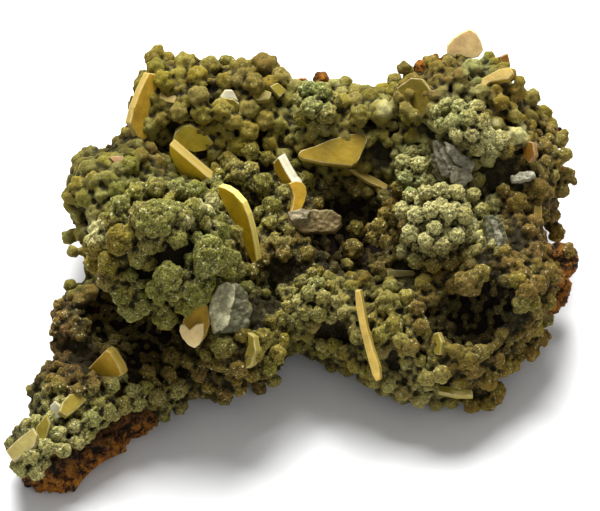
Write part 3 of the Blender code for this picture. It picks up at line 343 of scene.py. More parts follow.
# Knobs: across, up and lift of the core, the knob's reach, the core's radius, how large the small
# lobes on a lobe are beside those of the crust, then each lobe as across, up, radius, sink.
# A lobe lies on the sphere of the knob's reach, less its sink.
KNOBS = {
    "mimetite_knob_large": {
        "core": (-13.4, 0.8, 4.0), "reach": 6.7, "core_radius": 5.3, "fineness": 0.95,
        "lobes": (
            (-14.2, 7.1, 1.3, 0.3), (-16.0, 6.6, 1.3, 0.3), (-17.6, 5.4, 1.3, 0.3),
            (-18.8, 3.8, 1.3, 0.2), (-12.0, 7.0, 1.3, 0.3), (-10.2, 6.7, 1.3, 0.3),
            (-8.9, 6.0, 1.1, 0.4), (-14.4, 3.9, 2.2, -0.6), (-15.6, 4.6, 1.4, -0.4),
            (-12.8, 4.7, 1.5, -0.4), (-11.6, 4.2, 1.3, -0.1), (-10.4, 5.2, 1.2, -0.1),
            (-12.1, 2.2, 1.2, 0.5), (-14.7, 1.7, 1.3, 0.4), (-17.6, 2.1, 1.7, -0.2),
            (-19.8, 1.6, 1.7, 0.2), (-18.8, -0.2, 1.3, 0.1), (-20.2, -0.2, 1.2, 0.6),
            (-18.8, -1.7, 1.4, 0.2), (-17.5, -3.2, 1.3, 0.3), (-16.6, -4.6, 1.5, 0.1),
            (-15.4, -4.4, 1.0, 0.4), (-15.9, 0.4, 1.2, 1.0), (-14.8, -0.2, 0.9, 1.3),
            (-13.0, -1.5, 1.6, -0.1), (-14.0, -2.8, 1.3, 0.2), (-12.5, -3.0, 1.1, 0.4),
            (-10.2, -3.0, 1.7, 0.0), (-11.3, -4.3, 1.2, 0.3), (-9.5, -2.3, 1.2, 0.2),
            (-13.3, -5.5, 1.4, 0.6), (-8.9, 0.7, 2.0, -0.3), (-9.5, -0.5, 1.3, 0.0),
            (-7.8, -0.2, 1.3, 0.2), (-6.8, 0.2, 1.1, 0.4), (-6.2, -0.8, 1.0, 0.4),
            (-7.2, -1.2, 1.1, 0.3), (-7.8, 3.2, 0.8, 0.6), (-6.3, 2.8, 0.8, 0.6),
            (-9.5, 3.8, 0.9, 0.7), (-9.2, 4.7, 1.0, 0.5),
        ),
    },
    "mimetite_knob_right": {
        "core": (13.8, 3.2, 4.2), "reach": 4.3, "core_radius": 3.2, "fineness": 0.68,
        "lobes": (
            (11.0, 6.5, 0.9, 0.0), (12.5, 6.8, 0.9, 0.0), (14.0, 7.0, 0.9, 0.0),
            (15.5, 6.8, 0.9, 0.0), (17.2, 6.6, 0.8, 0.0), (18.0, 5.0, 0.9, 0.0),
            (18.3, 3.5, 0.9, 0.0), (17.8, 2.0, 0.9, 0.0), (16.5, 0.5, 0.9, 0.0),
            (15.0, -0.2, 0.9, 0.0), (13.2, -0.4, 0.9, 0.0), (11.5, 0.0, 0.9, 0.0),
            (10.0, 1.0, 0.9, 0.0), (9.2, 2.5, 0.9, 0.1), (9.0, 4.0, 0.9, 0.2),
            (7.9, 3.5, 0.9, -1.2), (7.3, 2.3, 0.8, -1.0), (10.0, 5.0, 1.0, 0.0),
            (8.3, 4.7, 0.7, -0.9), (8.4, 2.0, 0.8, -1.2), (6.9, 3.2, 0.6, -0.6),
            (11.5, 4.5, 1.0, 0.1), (13.0, 5.0, 1.0, 0.0), (14.7, 4.8, 1.0, 0.1),
            (16.2, 4.5, 1.0, 0.0), (13.3, 3.2, 0.9, 0.2), (12.5, 2.0, 0.9, 0.0),
            (14.0, 1.5, 1.0, 0.0), (15.5, 2.5, 0.9, 0.2), (11.0, 2.8, 1.0, 0.1),
        ),
    },
    "mimetite_knob_green_spur": {
        "core": (11.0, 8.8, 2.6), "reach": 1.9, "core_radius": 1.5, "fineness": 0.68,
        "lobes": (
            (12.4, 11.0, 0.8, 0.2), (11.2, 10.7, 0.9, 0.0), (10.2, 9.8, 0.9, 0.0),
            (11.8, 9.5, 1.0, 0.0), (12.9, 9.9, 0.9, 0.1), (10.5, 8.2, 1.0, 0.0),
            (12.0, 8.0, 1.0, 0.0), (9.8, 7.2, 0.9, 0.3),
        ),
    },
    "mimetite_knob_centre_small": {
        "core": (1.3, -4.0, 2.2), "reach": 2.6, "core_radius": 1.8, "fineness": 0.75,
        "lobes": (
            (1.2, -1.1, 0.6, 0.3), (0.0, -2.1, 0.7, 0.1), (1.8, -2.2, 0.8, 0.0),
            (3.0, -2.5, 0.7, 0.1), (0.8, -3.2, 0.9, 0.0), (2.2, -3.6, 0.9, 0.0),
            (3.5, -4.0, 0.8, 0.0), (-0.2, -4.0, 0.8, 0.1), (-1.2, -4.5, 0.7, 0.4),
            (0.5, -5.0, 0.9, 0.0), (1.8, -5.2, 0.9, 0.0), (3.0, -5.5, 0.8, 0.1),
            (1.2, -6.4, 0.8, 0.2), (0.0, -6.2, 0.6, 0.3), (4.0, -5.2, 0.6, 0.3),
        ),
    },
    "mimetite_knob_upper_right": {
        "core": (16.8, 13.2, 1.8), "reach": 2.6, "core_radius": 1.8, "fineness": 0.72,
        "lobes": (
            (13.5, 14.8, 0.8, 0.3), (14.5, 15.5, 0.8, 0.1), (15.8, 15.2, 0.9, 0.0),
            (14.0, 13.5, 0.9, 0.1), (15.2, 13.8, 0.9, 0.0), (16.7, 14.2, 1.0, 0.0),
            (17.5, 15.2, 0.9, 0.0), (18.0, 13.8, 0.9, 0.0), (15.5, 12.5, 0.8, 0.1),
            (17.0, 12.5, 0.8, 0.0), (18.5, 12.5, 1.0, 0.0), (19.8, 12.0, 1.1, 0.3),
            (19.0, 11.0, 0.9, 0.3), (17.5, 11.2, 0.9, 0.2), (20.5, 11.0, 0.8, 0.8),
        ),
    },
    "mimetite_knob_lower": {
        "core": (-5.6, -8.8, 1.4), "reach": 2.6, "core_radius": 2.0, "fineness": 0.95,
        "lobes": (
            (-7.5, -8.4, 1.4, 0.0), (-5.7, -7.2, 1.0, 0.1), (-3.6, -7.6, 1.1, 0.0),
            (-4.5, -9.2, 1.0, 0.0), (-2.3, -9.2, 1.0, 0.4), (-3.0, -10.5, 0.9, 0.3),
            (-6.0, -10.6, 1.0, 0.1), (-7.8, -10.2, 0.9, 0.2), (-4.7, -11.2, 0.9, 0.3),
            (-1.6, -7.8, 0.7, 0.8), (-9.2, -9.2, 0.8, 0.6),
        ),
    },
    "mimetite_knob_green_top": {
        "core": (1.7, 15.4, 1.6), "reach": 1.9, "core_radius": 1.5, "fineness": 0.75,
        "lobes": (
            (0.8, 17.0, 1.1, 0.0), (2.2, 16.8, 1.1, 0.0), (3.3, 16.0, 0.9, 0.2),
            (0.0, 16.0, 0.8, 0.2), (1.2, 15.2, 1.2, 0.0), (2.6, 14.7, 1.2, 0.0),
            (0.2, 14.2, 0.9, 0.1), (1.5, 13.5, 1.0, 0.0), (3.2, 13.6, 0.8, 0.2),
        ),
    },
}

# Clefts between the lobes of the knobs, where nothing fills the gap: across, up, radius.
CLEFTS = (
    (-15.0, -1.0, 1.0), (-13.6, -0.3, 1.0), (-12.2, 0.5, 1.0), (-11.2, 1.4, 0.9), (13.9, 1.9, 0.7),
)

# Calcite: each prism or blade as its place across, up and lift, its face's normal, its thickness,
# its finish and the outline of its face as (across, up).
CALCITES = {
    "calcite_grey_lump": (
        ((-7.2, -4.6, 4.3), (0.05, 0.25, 0.97), 3.0, "bright",
         ((-8.7, -3.5), (-8.1, -2.4), (-7.3, -1.9), (-6.5, -2.3), (-6.4, -3.6), (-6.8, -5.0),
          (-7.2, -6.4), (-7.7, -6.9), (-8.4, -6.4), (-8.9, -5.0))),
        ((-6.2, -4.8, 4.0), (0.20, 0.20, 0.96), 2.8, "clear",
         ((-7.0, -2.1), (-6.1, -2.2), (-5.2, -3.2), (-4.7, -4.8), (-4.9, -6.2), (-5.7, -6.9),
          (-7.9, -7.0), (-7.6, -4.5))),
    ),
    "calcite_brown_prism": (
        ((1.4, 3.9, 1.9), (0.0, 0.10, 0.99), 1.7, "brown",
         ((-1.2, 4.8), (1.0, 5.1), (3.2, 5.0), (4.0, 4.5), (4.1, 3.6), (3.4, 2.9), (0.5, 2.8),
          (-1.1, 3.3))),
        ((0.0, 4.5, 2.1), (-0.2, 0.35, 0.91), 0.9, "tan",
         ((-1.3, 4.9), (0.2, 5.3), (1.0, 5.0), (0.7, 4.2), (-0.9, 4.0))),
    ),
    "calcite_grey_blades": (
        ((14.2, 10.0, 1.8), (-0.35, 0.05, 0.93), 0.6, "grey",
         ((13.1, 12.0), (13.7, 12.0), (15.5, 9.4), (15.2, 8.1), (14.0, 8.4), (13.3, 10.4))),
        ((15.9, 10.1, 1.7), (0.10, 0.30, 0.95), 0.5, "frosted",
         ((14.3, 11.9), (15.2, 11.5), (17.4, 9.7), (16.9, 8.9), (15.4, 9.6), (14.6, 10.8))),
        ((16.0, 8.4, 1.6), (0.30, -0.10, 0.95), 0.6, "grey",
         ((15.1, 9.5), (16.6, 9.2), (17.3, 8.2), (16.1, 7.3), (15.0, 7.8))),
        ((14.4, 10.4, 2.0), (0.45, 0.30, 0.84), 0.4, "frosted",
         ((13.5, 12.1), (14.1, 11.9), (15.6, 9.4), (15.9, 7.9), (15.1, 8.6), (14.2, 10.4))),
        ((13.8, 9.2, 1.5), (-0.55, -0.10, 0.83), 0.6, "clear",
         ((12.9, 10.7), (13.8, 10.3), (14.7, 8.3), (13.9, 7.6), (13.1, 8.6))),
    ),
    "calcite_grey_right": (
        ((19.4, 2.6, 1.4), (0.20, 0.10, 0.97), 1.2, "clear",
         ((18.3, 4.6), (19.6, 4.4), (20.3, 3.3), (20.6, 1.7), (20.0, 0.4), (19.1, 0.2), (18.6, 1.6),
          (18.3, 3.2))),
        ((19.4, 2.6, 1.7), (-0.30, 0.10, 0.95), 0.5, "grey",
         ((18.8, 4.2), (19.4, 4.0), (20.0, 2.2), (19.8, 0.8), (19.4, 1.0), (19.1, 2.6))),
    ),
    "calcite_white_streak": (
        ((22.1, 8.5, 1.1), (0.0, 0.45, 0.89), 0.6, "frosted",
         ((20.9, 8.4), (22.0, 8.9), (23.2, 8.9), (23.3, 8.4), (22.2, 8.0), (21.0, 7.9))),
    ),
}

# The edges of a plate that are bevelled, and how far a side faces as the plate does, on its rims
# and on the bevels along them.
SHARP_ANGLE = math.radians(40.0)
TILTS = (("rim", -1.0, 0.5), ("edge", 0.08, 0.97))

# Wulfenite: each plate's place as across, up, lift, then its face's normal, its thickness, its
# finish and the outline of its face as (across, up). A crystal has one plate or two.
TABLETS = {
    "wulfenite_upper_left_plate": (
        ((-15.3, 15.2, 0.4), (0.55, -0.10, 0.83), 1.0, "orange",
         ((-15.0, 18.7), (-14.2, 18.6), (-14.0, 17.8), (-14.0, 16.0), (-13.9, 14.4), (-14.7, 12.7),
          (-15.5, 12.0), (-16.1, 12.3), (-16.5, 13.1), (-16.9, 13.7), (-16.5, 15.3), (-15.8, 17.1))),
    ),
    "wulfenite_upper_left_bar": (
        ((-12.8, 15.9, 0.4), (0.0, 0.45, 0.89), 0.8, "straw",
         ((-14.1, 16.3), (-13.9, 16.9), (-13.2, 16.8), (-12.0, 16.4), (-11.0, 16.1), (-11.3, 15.6),
          (-12.5, 15.7), (-13.4, 15.9))),
    ),
    "wulfenite_olive_round": (
        ((-10.5, 11.8, 0.8), (0.0, -0.35, 0.94), 0.9, "moss",
         ((-12.7, 11.8), (-12.4, 12.8), (-11.7, 13.4), (-10.9, 13.5), (-10.0, 13.1), (-9.2, 12.5),
          (-8.6, 11.7), (-9.4, 11.0), (-10.5, 10.8), (-12.0, 11.3))),
    ),
    "wulfenite_edge_blade": (
        ((-11.0, 9.3, 3.2), (-0.53, -0.60, 0.60), 1.0, "glow",
         ((-13.0, 11.6), (-8.9, 8.1), (-9.3, 7.0), (-10.8, 7.0), (-11.8, 8.2), (-12.6, 9.7),
          (-13.0, 10.8))),
    ),
    "wulfenite_curved_blade": (
        ((-5.9, 3.2, 3.0), (-0.73, -0.45, 0.51), 0.7, "gold",
         ((-8.1, 7.4), (-7.4, 7.2), (-6.6, 6.7), (-5.7, 5.7), (-5.2, 4.5), (-4.8, 3.0), (-4.5, 1.5),
          (-4.3, 0.0), (-4.8, -0.2), (-5.4, 1.3), (-6.0, 3.0), (-6.9, 4.3), (-7.6, 5.7), (-8.1, 6.7))),
    ),
    "wulfenite_bright_edge": (
        ((-1.5, 8.7, 1.6), (-0.66, -0.42, 0.62), 1.1, "bright",
         ((-2.2, 10.3), (-1.5, 9.0), (-0.9, 8.0), (-0.4, 7.5), (-0.9, 7.0), (-1.7, 7.6), (-2.5, 8.8),
          (-2.7, 9.7))),
        ((-0.3, 6.3, 1.9), (0.35, 0.10, 0.93), 0.7, "orange",
         ((-1.1, 7.7), (-0.5, 7.95), (0.2, 7.9), (0.6, 7.4), (0.7, 6.7), (0.5, 5.9), (0.1, 4.9),
          (-0.4, 4.5), (-0.9, 4.6), (-0.7, 5.6), (-0.6, 6.4), (-0.8, 7.1))),
    ),
    "wulfenite_centre_plate": (
        ((3.2, 10.8, 2.3), (0.10, 0.30, 0.95), 0.9, "honey",
         ((-0.2, 10.6), (0.1, 11.0), (1.4, 11.4), (2.8, 12.0), (4.8, 12.6), (6.0, 12.75),
          (6.6, 12.5), (6.7, 12.0), (6.0, 10.4), (5.7, 9.8), (5.1, 9.45), (3.6, 9.6), (2.0, 9.8),
          (0.2, 10.2))),
    ),
    "wulfenite_centre_splinter": (
        ((6.9, 8.0, 0.9), (0.30, 0.60, 0.74), 0.45, "straw",
         ((4.9, 9.2), (5.6, 9.2), (7.2, 8.5), (8.8, 7.6), (8.6, 7.1), (6.8, 7.9))),
    ),
    "wulfenite_pointed_tip": (
        ((-10.6, -7.4, 4.3), (-0.05, -0.10, 0.99), 0.5, "pearl",
         ((-11.8, -6.3), (-11.4, -6.2), (-10.9, -6.8), (-10.2, -6.2), (-9.5, -6.1), (-9.5, -7.3),
          (-9.9, -8.2), (-10.4, -8.6), (-11.0, -8.3), (-11.6, -7.6), (-11.9, -6.9))),
        ((-10.0, -6.8, 2.9), (-0.10, -0.15, 0.98), 1.3, "orange",
         ((-11.5, -5.7), (-10.5, -4.8), (-9.4, -3.8), (-9.0, -4.8), (-8.9, -6.2), (-9.3, -7.4),
          (-10.0, -8.4), (-11.3, -7.8), (-11.7, -6.5))),
    ),
    "wulfenite_corner_up": (
        ((-19.2, -11.0, 0.6), (-0.55, -0.40, 0.73), 1.2, "orange",
         ((-19.2, -8.8), (-18.7, -9.1), (-17.8, -10.6), (-17.6, -11.3), (-18.8, -11.8),
          (-19.4, -12.6), (-20.2, -13.8), (-21.4, -13.0), (-22.1, -12.2), (-21.0, -10.7))),
    ),
    "wulfenite_foot_yellow": (
        ((-22.7, -14.2, 1.3), (0.30, 0.35, 0.89), 0.9, "yellow",
         ((-23.4, -13.9), (-22.7, -13.1), (-21.8, -13.0), (-21.0, -13.7), (-22.0, -14.6),
          (-22.9, -15.3), (-23.7, -14.8))),
    ),
    "wulfenite_foot_small": (
        ((-24.2, -15.3, 0.9), (-0.40, -0.20, 0.90), 0.7, "white",
         ((-24.7, -14.3), (-24.2, -13.8), (-23.6, -14.4), (-23.3, -15.2), (-24.0, -15.6),
          (-24.6, -15.1))),
    ),
    "wulfenite_foot_pale_plate": (
        ((-26.6, -17.2, 1.5), (-0.35, 0.30, 0.89), 0.8, "cream",
         ((-29.0, -18.7), (-28.0, -17.7), (-27.0, -16.9), (-26.3, -16.4), (-25.9, -17.1),
          (-26.2, -18.2), (-27.3, -19.1), (-28.3, -19.7))),
        ((-25.4, -16.4, 1.3), (-0.20, 0.20, 0.95), 0.6, "olive",
         ((-26.1, -16.4), (-25.0, -15.1), (-24.6, -16.0), (-25.0, -17.4), (-25.8, -17.8))),
    ),
    "wulfenite_upper_right_bar": (
        ((18.9, 17.7, 0.8), (-0.25, 0.45, 0.86), 0.8, "straw",
         ((16.6, 16.6), (17.7, 18.0), (19.8, 19.1), (20.9, 19.3), (21.2, 18.7), (20.6, 18.1),
          (18.8, 17.8), (17.4, 16.5))),
    ),
    "wulfenite_lozenge": (
        ((11.9, 16.2, 0.4), (-0.38, 0.10, 0.92), 0.8, "khaki",
         ((9.6, 17.2), (11.0, 18.2), (12.1, 18.1), (13.4, 16.4), (12.8, 15.1), (11.9, 14.1),
          (10.4, 14.6), (9.7, 15.9))),
    ),
    "wulfenite_behind_white": (
        ((22.8, 11.0, 0.8), (-0.60, 0.10, 0.79), 0.7, "amber",
         ((22.2, 12.0), (23.1, 11.8), (23.3, 10.5), (22.7, 9.7), (22.1, 10.5))),
    ),
    "wulfenite_right_bar": (
        ((23.7, 4.8, 0.6), (0.40, 0.10, 0.90), 0.6, "straw",
         ((23.3, 6.2), (24.0, 6.0), (24.1, 4.7), (23.8, 3.4), (23.2, 3.6))),
    ),
    "wulfenite_needle": (
        ((6.9, -7.3, 2.2), (-0.30, -0.05, 0.95), 0.9, "wheat",
         ((5.4, -2.9), (5.9, -2.8), (6.2, -4.4), (6.6, -6.6), (7.2, -8.7), (7.8, -10.4), (7.9, -11.6),
          (7.5, -11.9), (7.1, -11.2), (6.5, -9.0), (5.9, -6.6), (5.5, -4.6))),
    ),
    "wulfenite_lower_plate": (
        ((13.4, -8.2, 0.5), (-0.60, 0.0, 0.80), 0.7, "olive",
         ((13.1, -7.2), (13.6, -7.0), (14.0, -8.0), (13.8, -9.3), (13.2, -9.2))),
    ),
    "wulfenite_lower_bar": (
        ((15.5, -12.7, 0.6), (0.0, 0.50, 0.86), 0.7, "olive",
         ((13.6, -12.4), (14.1, -12.3), (17.0, -12.7), (17.1, -13.3), (15.5, -13.3), (13.7, -12.9))),
    ),
    "wulfenite_shadow_bar": (
        ((10.1, -1.2, 0.9), (0.0, 0.60, 0.80), 0.5, "olive",
         ((8.6, -0.8), (11.3, -0.9), (11.5, -1.4), (8.7, -1.5))),
    ),
    "wulfenite_cream_top": (
        ((16.5, 20.9, 0.2), (0.05, -0.20, 0.98), 1.4, "pearl",
         ((14.6, 20.6), (14.7, 21.5), (15.3, 22.2), (16.2, 22.8), (16.9, 23.1), (17.6, 22.7),
          (18.1, 21.8), (18.3, 21.0), (17.8, 20.3), (16.2, 20.0))),
    ),
    "wulfenite_overgrown_blade": (
        ((-5.4, -9.7, 4.2), (-0.70, 0.0, 0.71), 0.8, "olive",
         ((-5.2, -7.0), (-4.6, -7.4), (-4.4, -8.8), (-4.8, -10.2), (-5.4, -10.6), (-5.4, -9.2),
          (-5.1, -8.2))),
    ),
    "wulfenite_white_tip": (
        ((-7.3, 16.4, 0.9), (0.15, -0.10, 0.98), 0.7, "white",
         ((-7.9, 16.3), (-7.4, 17.0), (-6.7, 17.0), (-6.1, 15.9), (-7.0, 16.2), (-7.8, 15.9))),
        ((-7.3, 15.4, 0.8), (0.10, -0.25, 0.96), 0.9, "olive",
         ((-8.6, 15.0), (-8.4, 15.8), (-7.6, 16.2), (-6.6, 16.1), (-6.0, 15.6), (-6.2, 14.8),
          (-7.6, 14.6))),
    ),
    "wulfenite_back_pair_left": (
        ((-4.0, 16.4, 0.8), (0.10, 0.50, 0.86), 0.8, "olive",
         ((-4.8, 16.8), (-3.8, 17.2), (-2.8, 16.8), (-3.0, 16.1), (-4.4, 16.0))),
    ),
    "wulfenite_back_pair_right": (
        ((-2.2, 17.3, 0.9), (0.30, 0.30, 0.90), 0.7, "olive",
         ((-3.0, 17.4), (-2.2, 17.8), (-1.3, 17.0), (-2.0, 16.3))),
    ),
    "wulfenite_brown_corner": (
        ((20.6, 19.4, 0.4), (0.20, 0.0, 0.98), 0.7, "amber",
         ((19.8, 20.3), (20.7, 20.7), (21.0, 19.4), (20.3, 19.2))),
    ),
    "wulfenite_left_chip": (
        ((-18.3, 10.0, 0.8), (0.0, 0.50, 0.86), 0.7, "amber",
         ((-19.0, 10.4), (-17.6, 10.5), (-17.2, 9.9), (-18.2, 9.6))),
    ),
}


def length_setting(name, description, default):
    """A property for a length, of which the default is in millimetres."""
    return FloatProperty(
        name=name, description=description, default=default * MM, unit="LENGTH", precision=5)


def colour_setting(name, description, *default):
    """A property for an opaque colour."""
    return FloatVectorProperty(
        name=name, description=description, default=(*default, 1.0), subtype="COLOR", size=4,
        min=0.0, max=1.0)


class SpecimenSizes(bpy.types.PropertyGroup):
    """Sizes that a user would change."""

    crust_thickness: length_setting(
        "Crust thickness", "From the rock to the base that the lumps stand on", 1.3)
    coat: length_setting("Coat", "Thickness of the crust between its lumps", 0.65)
    rock_grain: length_setting("Rock grain", "Mesh size of the rock", 0.28)
    coat_grain: length_setting("Coat grain", "Mesh size of the coat between the lumps", 0.36)
    crust_grain: length_setting("Crust grain", "Mesh size of the crust's lumps", 0.17)
    hidden_grain: length_setting(
        "Hidden grain", "Mesh size of the lumps on the hidden side", 0.22)
    knob_grain: length_setting(
        "Knob grain", "Mesh size of the knobs, for small lobes like the crust's", 0.17)
    calcite_grain: length_setting("Calcite grain", "Mesh size of the calcite", 0.10)
    rust_grain: length_setting("Rust grain", "Mesh size of the rusty edge", 0.14)
    lobelet: length_setting("Lobelet", "Radius of the small lobes on a lump of 1 mm radius", 0.47)
    druse: length_setting("Druse", "Size of the fine crystals that cover the mimetite", 0.15)
    rim_bevel: length_setting("Rim bevel", "Width of the bevel round a tablet's faces", 0.11)


class SpecimenColours(bpy.types.PropertyGroup):
    """Colours that a user would change."""

    olive: colour_setting("Olive", "Mimetite of the knobs", 0.142, 0.139, 0.025)
    yellow: colour_setting("Yellow olive", "Mimetite of the outer crust", 0.225, 0.168, 0.016)
    green: colour_setting("Green", "Mimetite stained green", 0.100, 0.160, 0.045)
    pale: colour_setting("Pale", "Whitish druse", 0.430, 0.395, 0.160)
    brown: colour_setting("Brown", "Mimetite stained by the rock", 0.140, 0.078, 0.024)
    # Painted shade: the colour that the mimetite's crevices, seams, pits and gaps are darkened to.
    crevice_shade: colour_setting("Crevice", "The bottom of the crevices", 0.024, 0.020, 0.011)
    rock_dark: colour_setting("Dark rock", "Limonite with a black coat", 0.014, 0.010, 0.008)
    rock_brown: colour_setting("Brown rock", "Limonite", 0.085, 0.045, 0.020)
    rust: colour_setting("Rust", "Earthy orange limonite", 0.520, 0.205, 0.022)
    russet: colour_setting("Russet", "Deeper red brown limonite", 0.270, 0.092, 0.014)
    frost: colour_setting("Frost", "Frosted spots of the calcite", 0.620, 0.585, 0.400)
    floor: colour_setting("Floor", "The pale floor", 0.90, 0.90, 0.90)


# Finishes of the wulfenite: the colour of the broad faces, then that of the rims.
WULFENITE_FINISHES = {
    "honey": ((0.280, 0.185, 0.010, 1.0), (0.450, 0.330, 0.050, 1.0)),
    "khaki": ((0.150, 0.108, 0.010, 1.0), (0.300, 0.240, 0.050, 1.0)),
    # 'glow' is a lighter copy of the honey colour: painted glow of light through a plate that faces
    # away from the key lamp.
    "glow": ((1.000, 0.720, 0.045, 1.0), (0.520, 0.380, 0.095, 1.0)),
    # 'gold' is likewise a lighter copy: painted glow of light through a plate that faces away from the
    # key lamp.
    "gold": ((0.800, 0.550, 0.014, 1.0), (1.000, 0.790, 0.190, 1.0)),
    "orange": ((0.520, 0.315, 0.026, 1.0), (0.480, 0.330, 0.060, 1.0)),
    "moss": ((0.540, 0.430, 0.045, 1.0), (0.400, 0.330, 0.080, 1.0)),
    "wheat": ((0.700, 0.490, 0.110, 1.0), (0.480, 0.330, 0.050, 1.0)),
    "pearl": ((1.000, 0.740, 0.340, 1.0), (0.850, 0.640, 0.300, 1.0)),
    # 'bright' has near-white rims: a painted highlight, the glint off its plate's top edge.
    "bright": ((0.560, 0.350, 0.020, 1.0), (0.950, 0.900, 0.650, 1.0)),
    "olive": ((0.260, 0.200, 0.018, 1.0), (0.360, 0.290, 0.060, 1.0)),
    "yellow": ((0.280, 0.208, 0.026, 1.0), (0.400, 0.330, 0.070, 1.0)),
    "straw": ((0.430, 0.300, 0.060, 1.0), (0.480, 0.330, 0.050, 1.0)),
    "amber": ((0.240, 0.105, 0.012, 1.0), (0.280, 0.150, 0.025, 1.0)),
    "cream": ((0.375, 0.307, 0.094, 1.0), (0.460, 0.380, 0.150, 1.0)),
    # 'white' plates are painted highlights: small pale plates that stand for glints off crystals.
    "white": ((0.720, 0.690, 0.500, 1.0), (0.560, 0.500, 0.280, 1.0)),
}


# Colours of the calcite where it is clear and where it is cloudy, then how far it is frosted.
CALCITE_FINISHES = {
    "grey": ((0.100, 0.092, 0.054, 1.0), (0.320, 0.295, 0.190, 1.0), 0.55),
    # 'bright' is a lighter copy of the frosted finish: painted light on the grey lump, which the large
    # knob shades from the key lamp.
    "bright": ((0.260, 0.246, 0.125, 1.0), (0.800, 0.755, 0.440, 1.0), 0.75),
    "clear": ((0.065, 0.063, 0.024, 1.0), (0.140, 0.132, 0.058, 1.0), 0.08),
    "frosted": ((0.160, 0.150, 0.090, 1.0), (0.420, 0.400, 0.280, 1.0), 0.70),
    "brown": ((0.120, 0.076, 0.016, 1.0), (0.240, 0.180, 0.070, 1.0), 0.20),
    "tan": ((0.160, 0.120, 0.055, 1.0), (0.360, 0.300, 0.170, 1.0), 0.35),
}


def sizes():
    return bpy.context.scene.specimen_sizes


def colours():
    return bpy.context.scene.specimen_colours


def turned(direction):
    """A direction of the display face, as (across, up, out), in world axes."""
    across, up, out = direction
    return (ACROSS * across + UP * up + OUT * out).normalized()


def above_table(across, up, height):
    """The world point, in millimetres, seen at (across, up) and this high above the table."""
    return Vector((across, (up - height * UP.z) / UP.y, height))


def seen_at(points):
    """Where world points, in millimetres, are met on the display face: across and up."""
    return np.stack([points[:, 0], points @ np.array(UP)], axis=1)


def vug_depths(points):
    """How far out each point, in millimetres, is of each vug: 1 on its wall."""
    centres = np.array([tuple(above_table(*vug[:3])) for vug in VUGS])
    radii = np.array([vug[3:6] for vug in VUGS])
    return np.linalg.norm((points[:, None] - centres) / radii, axis=2)


def in_pocket(across, up):
    return any(math.hypot(across - x, up - y) < radius for x, y, radius in POCKETS)


def notched(points, margin=0.0):
    """Points, in millimetres, moved out of the notches of the outline."""
    for across, up, radius in NOTCHES:
        away = seen_at(points) - np.array([across, up])
        far = np.maximum(np.linalg.norm(away, axis=1), 0.1)
        move = away * (np.maximum(radius + margin - far, 0.0) / far)[:, None]
        points = points + move[:, :1] * np.array(ACROSS) + move[:, 1:] * np.array(UP)
    return points


def below_edge(across, up):
    """How far below the crust's edge along the foot a place on the display face is."""
    edge = np.array(BARE_EDGE)
    deep = np.interp(across, edge[:, 0], edge[:, 1]) - up
    return np.where(across < edge[-1, 0], deep, -1.0)


def select_only(*objects):
    bpy.ops.object.select_all(action="DESELECT")
    for obj in objects:
        obj.select_set(True)
    bpy.context.view_layer.objects.active = objects[0]


def modified(obj, kind, **settings):
    """Adds a modifier and applies it."""
    modifier = obj.modifiers.new(kind.title(), kind)
    for name, value in settings.items():
        setattr(modifier, name, value)
    select_only(obj)
    bpy.ops.object.modifier_apply(modifier=modifier.name)
    return obj


def merged_copy(node, name):
    """A copy of a solid with the corners of its loose triangles merged."""
    obj = bpy.data.objects.new(name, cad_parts[node].data.copy())
    bpy.context.scene.collection.objects.link(obj)
    obj.data.materials.clear()
    select_only(obj)
    bpy.ops.object.mode_set(mode="EDIT")
    bpy.ops.mesh.select_all(action="SELECT")
    bpy.ops.mesh.remove_doubles(threshold=0.001 * MM)
    bpy.ops.object.mode_set(mode="OBJECT")
    return obj


def points_of(mesh):
    """The corners of a mesh, in millimetres."""
    flat = np.empty(len(mesh.vertices) * 3)
    mesh.vertices.foreach_get("co", flat)
    return flat.reshape(-1, 3) / MM


def set_points(mesh, points):
    mesh.vertices.foreach_set("co", (points * MM).ravel())
    mesh.update()


def normals_of(mesh):
    flat = np.empty(len(mesh.vertices) * 3)
    mesh.vertex_normals.foreach_get("vector", flat)
    return flat.reshape(-1, 3)


def edges_of(mesh):
    flat = np.empty(len(mesh.edges) * 2, dtype=np.int64)
    mesh.edges.foreach_get("vertices", flat)
    return flat.reshape(-1, 2)


def spread(values, edges, rounds):
    """Values at the corners, averaged with their neighbours' this many times."""
    one, other = edges[:, 0], edges[:, 1]
    flat = values.reshape(len(values), -1).astype(float)
    count = np.maximum(np.bincount(edges.ravel(), minlength=len(flat)), 1)[:, None]
    for _ in range(rounds):
        total = np.empty_like(flat)
        for i in range(flat.shape[1]):
            total[:, i] = np.bincount(one, flat[other, i], len(flat))
            total[:, i] += np.bincount(other, flat[one, i], len(flat))
        flat = 0.5 * flat + 0.5 * total / count
    return flat.reshape(values.shape)


def store(mesh, name, values):
    """Keeps a value, or a colour, at each corner."""
    kind = "FLOAT" if values.ndim == 1 else "FLOAT_COLOR"
    field = "value" if values.ndim == 1 else "color"
    mesh.attributes.new(name, kind, "POINT").data.foreach_set(field, values.ravel())


def store_relief(mesh, name, rounds, depth):
    """Keeps how far each corner stands out of its surroundings: 0 in a crevice, 1 on a crest."""
    points = points_of(mesh)
    sunk = spread(points, edges_of(mesh), rounds)
    rise = ((points - sunk) * normals_of(mesh)).sum(axis=1)
    store(mesh, name, np.clip(0.5 + 0.5 * rise / depth, 0.0, 1.0))


def ball_shape(subdivisions):
    """Corners and faces of a ball of radius 1."""
    bpy.ops.object.select_all(action="DESELECT")
    bpy.ops.mesh.primitive_ico_sphere_add(subdivisions=subdivisions, radius=1.0, location=(0, 0, 0))
    ball = bpy.context.object
    corners = points_of(ball.data) * MM
    faces = np.array([tuple(face.vertices) for face in ball.data.polygons])
    bpy.data.objects.remove(ball)
    return corners, faces


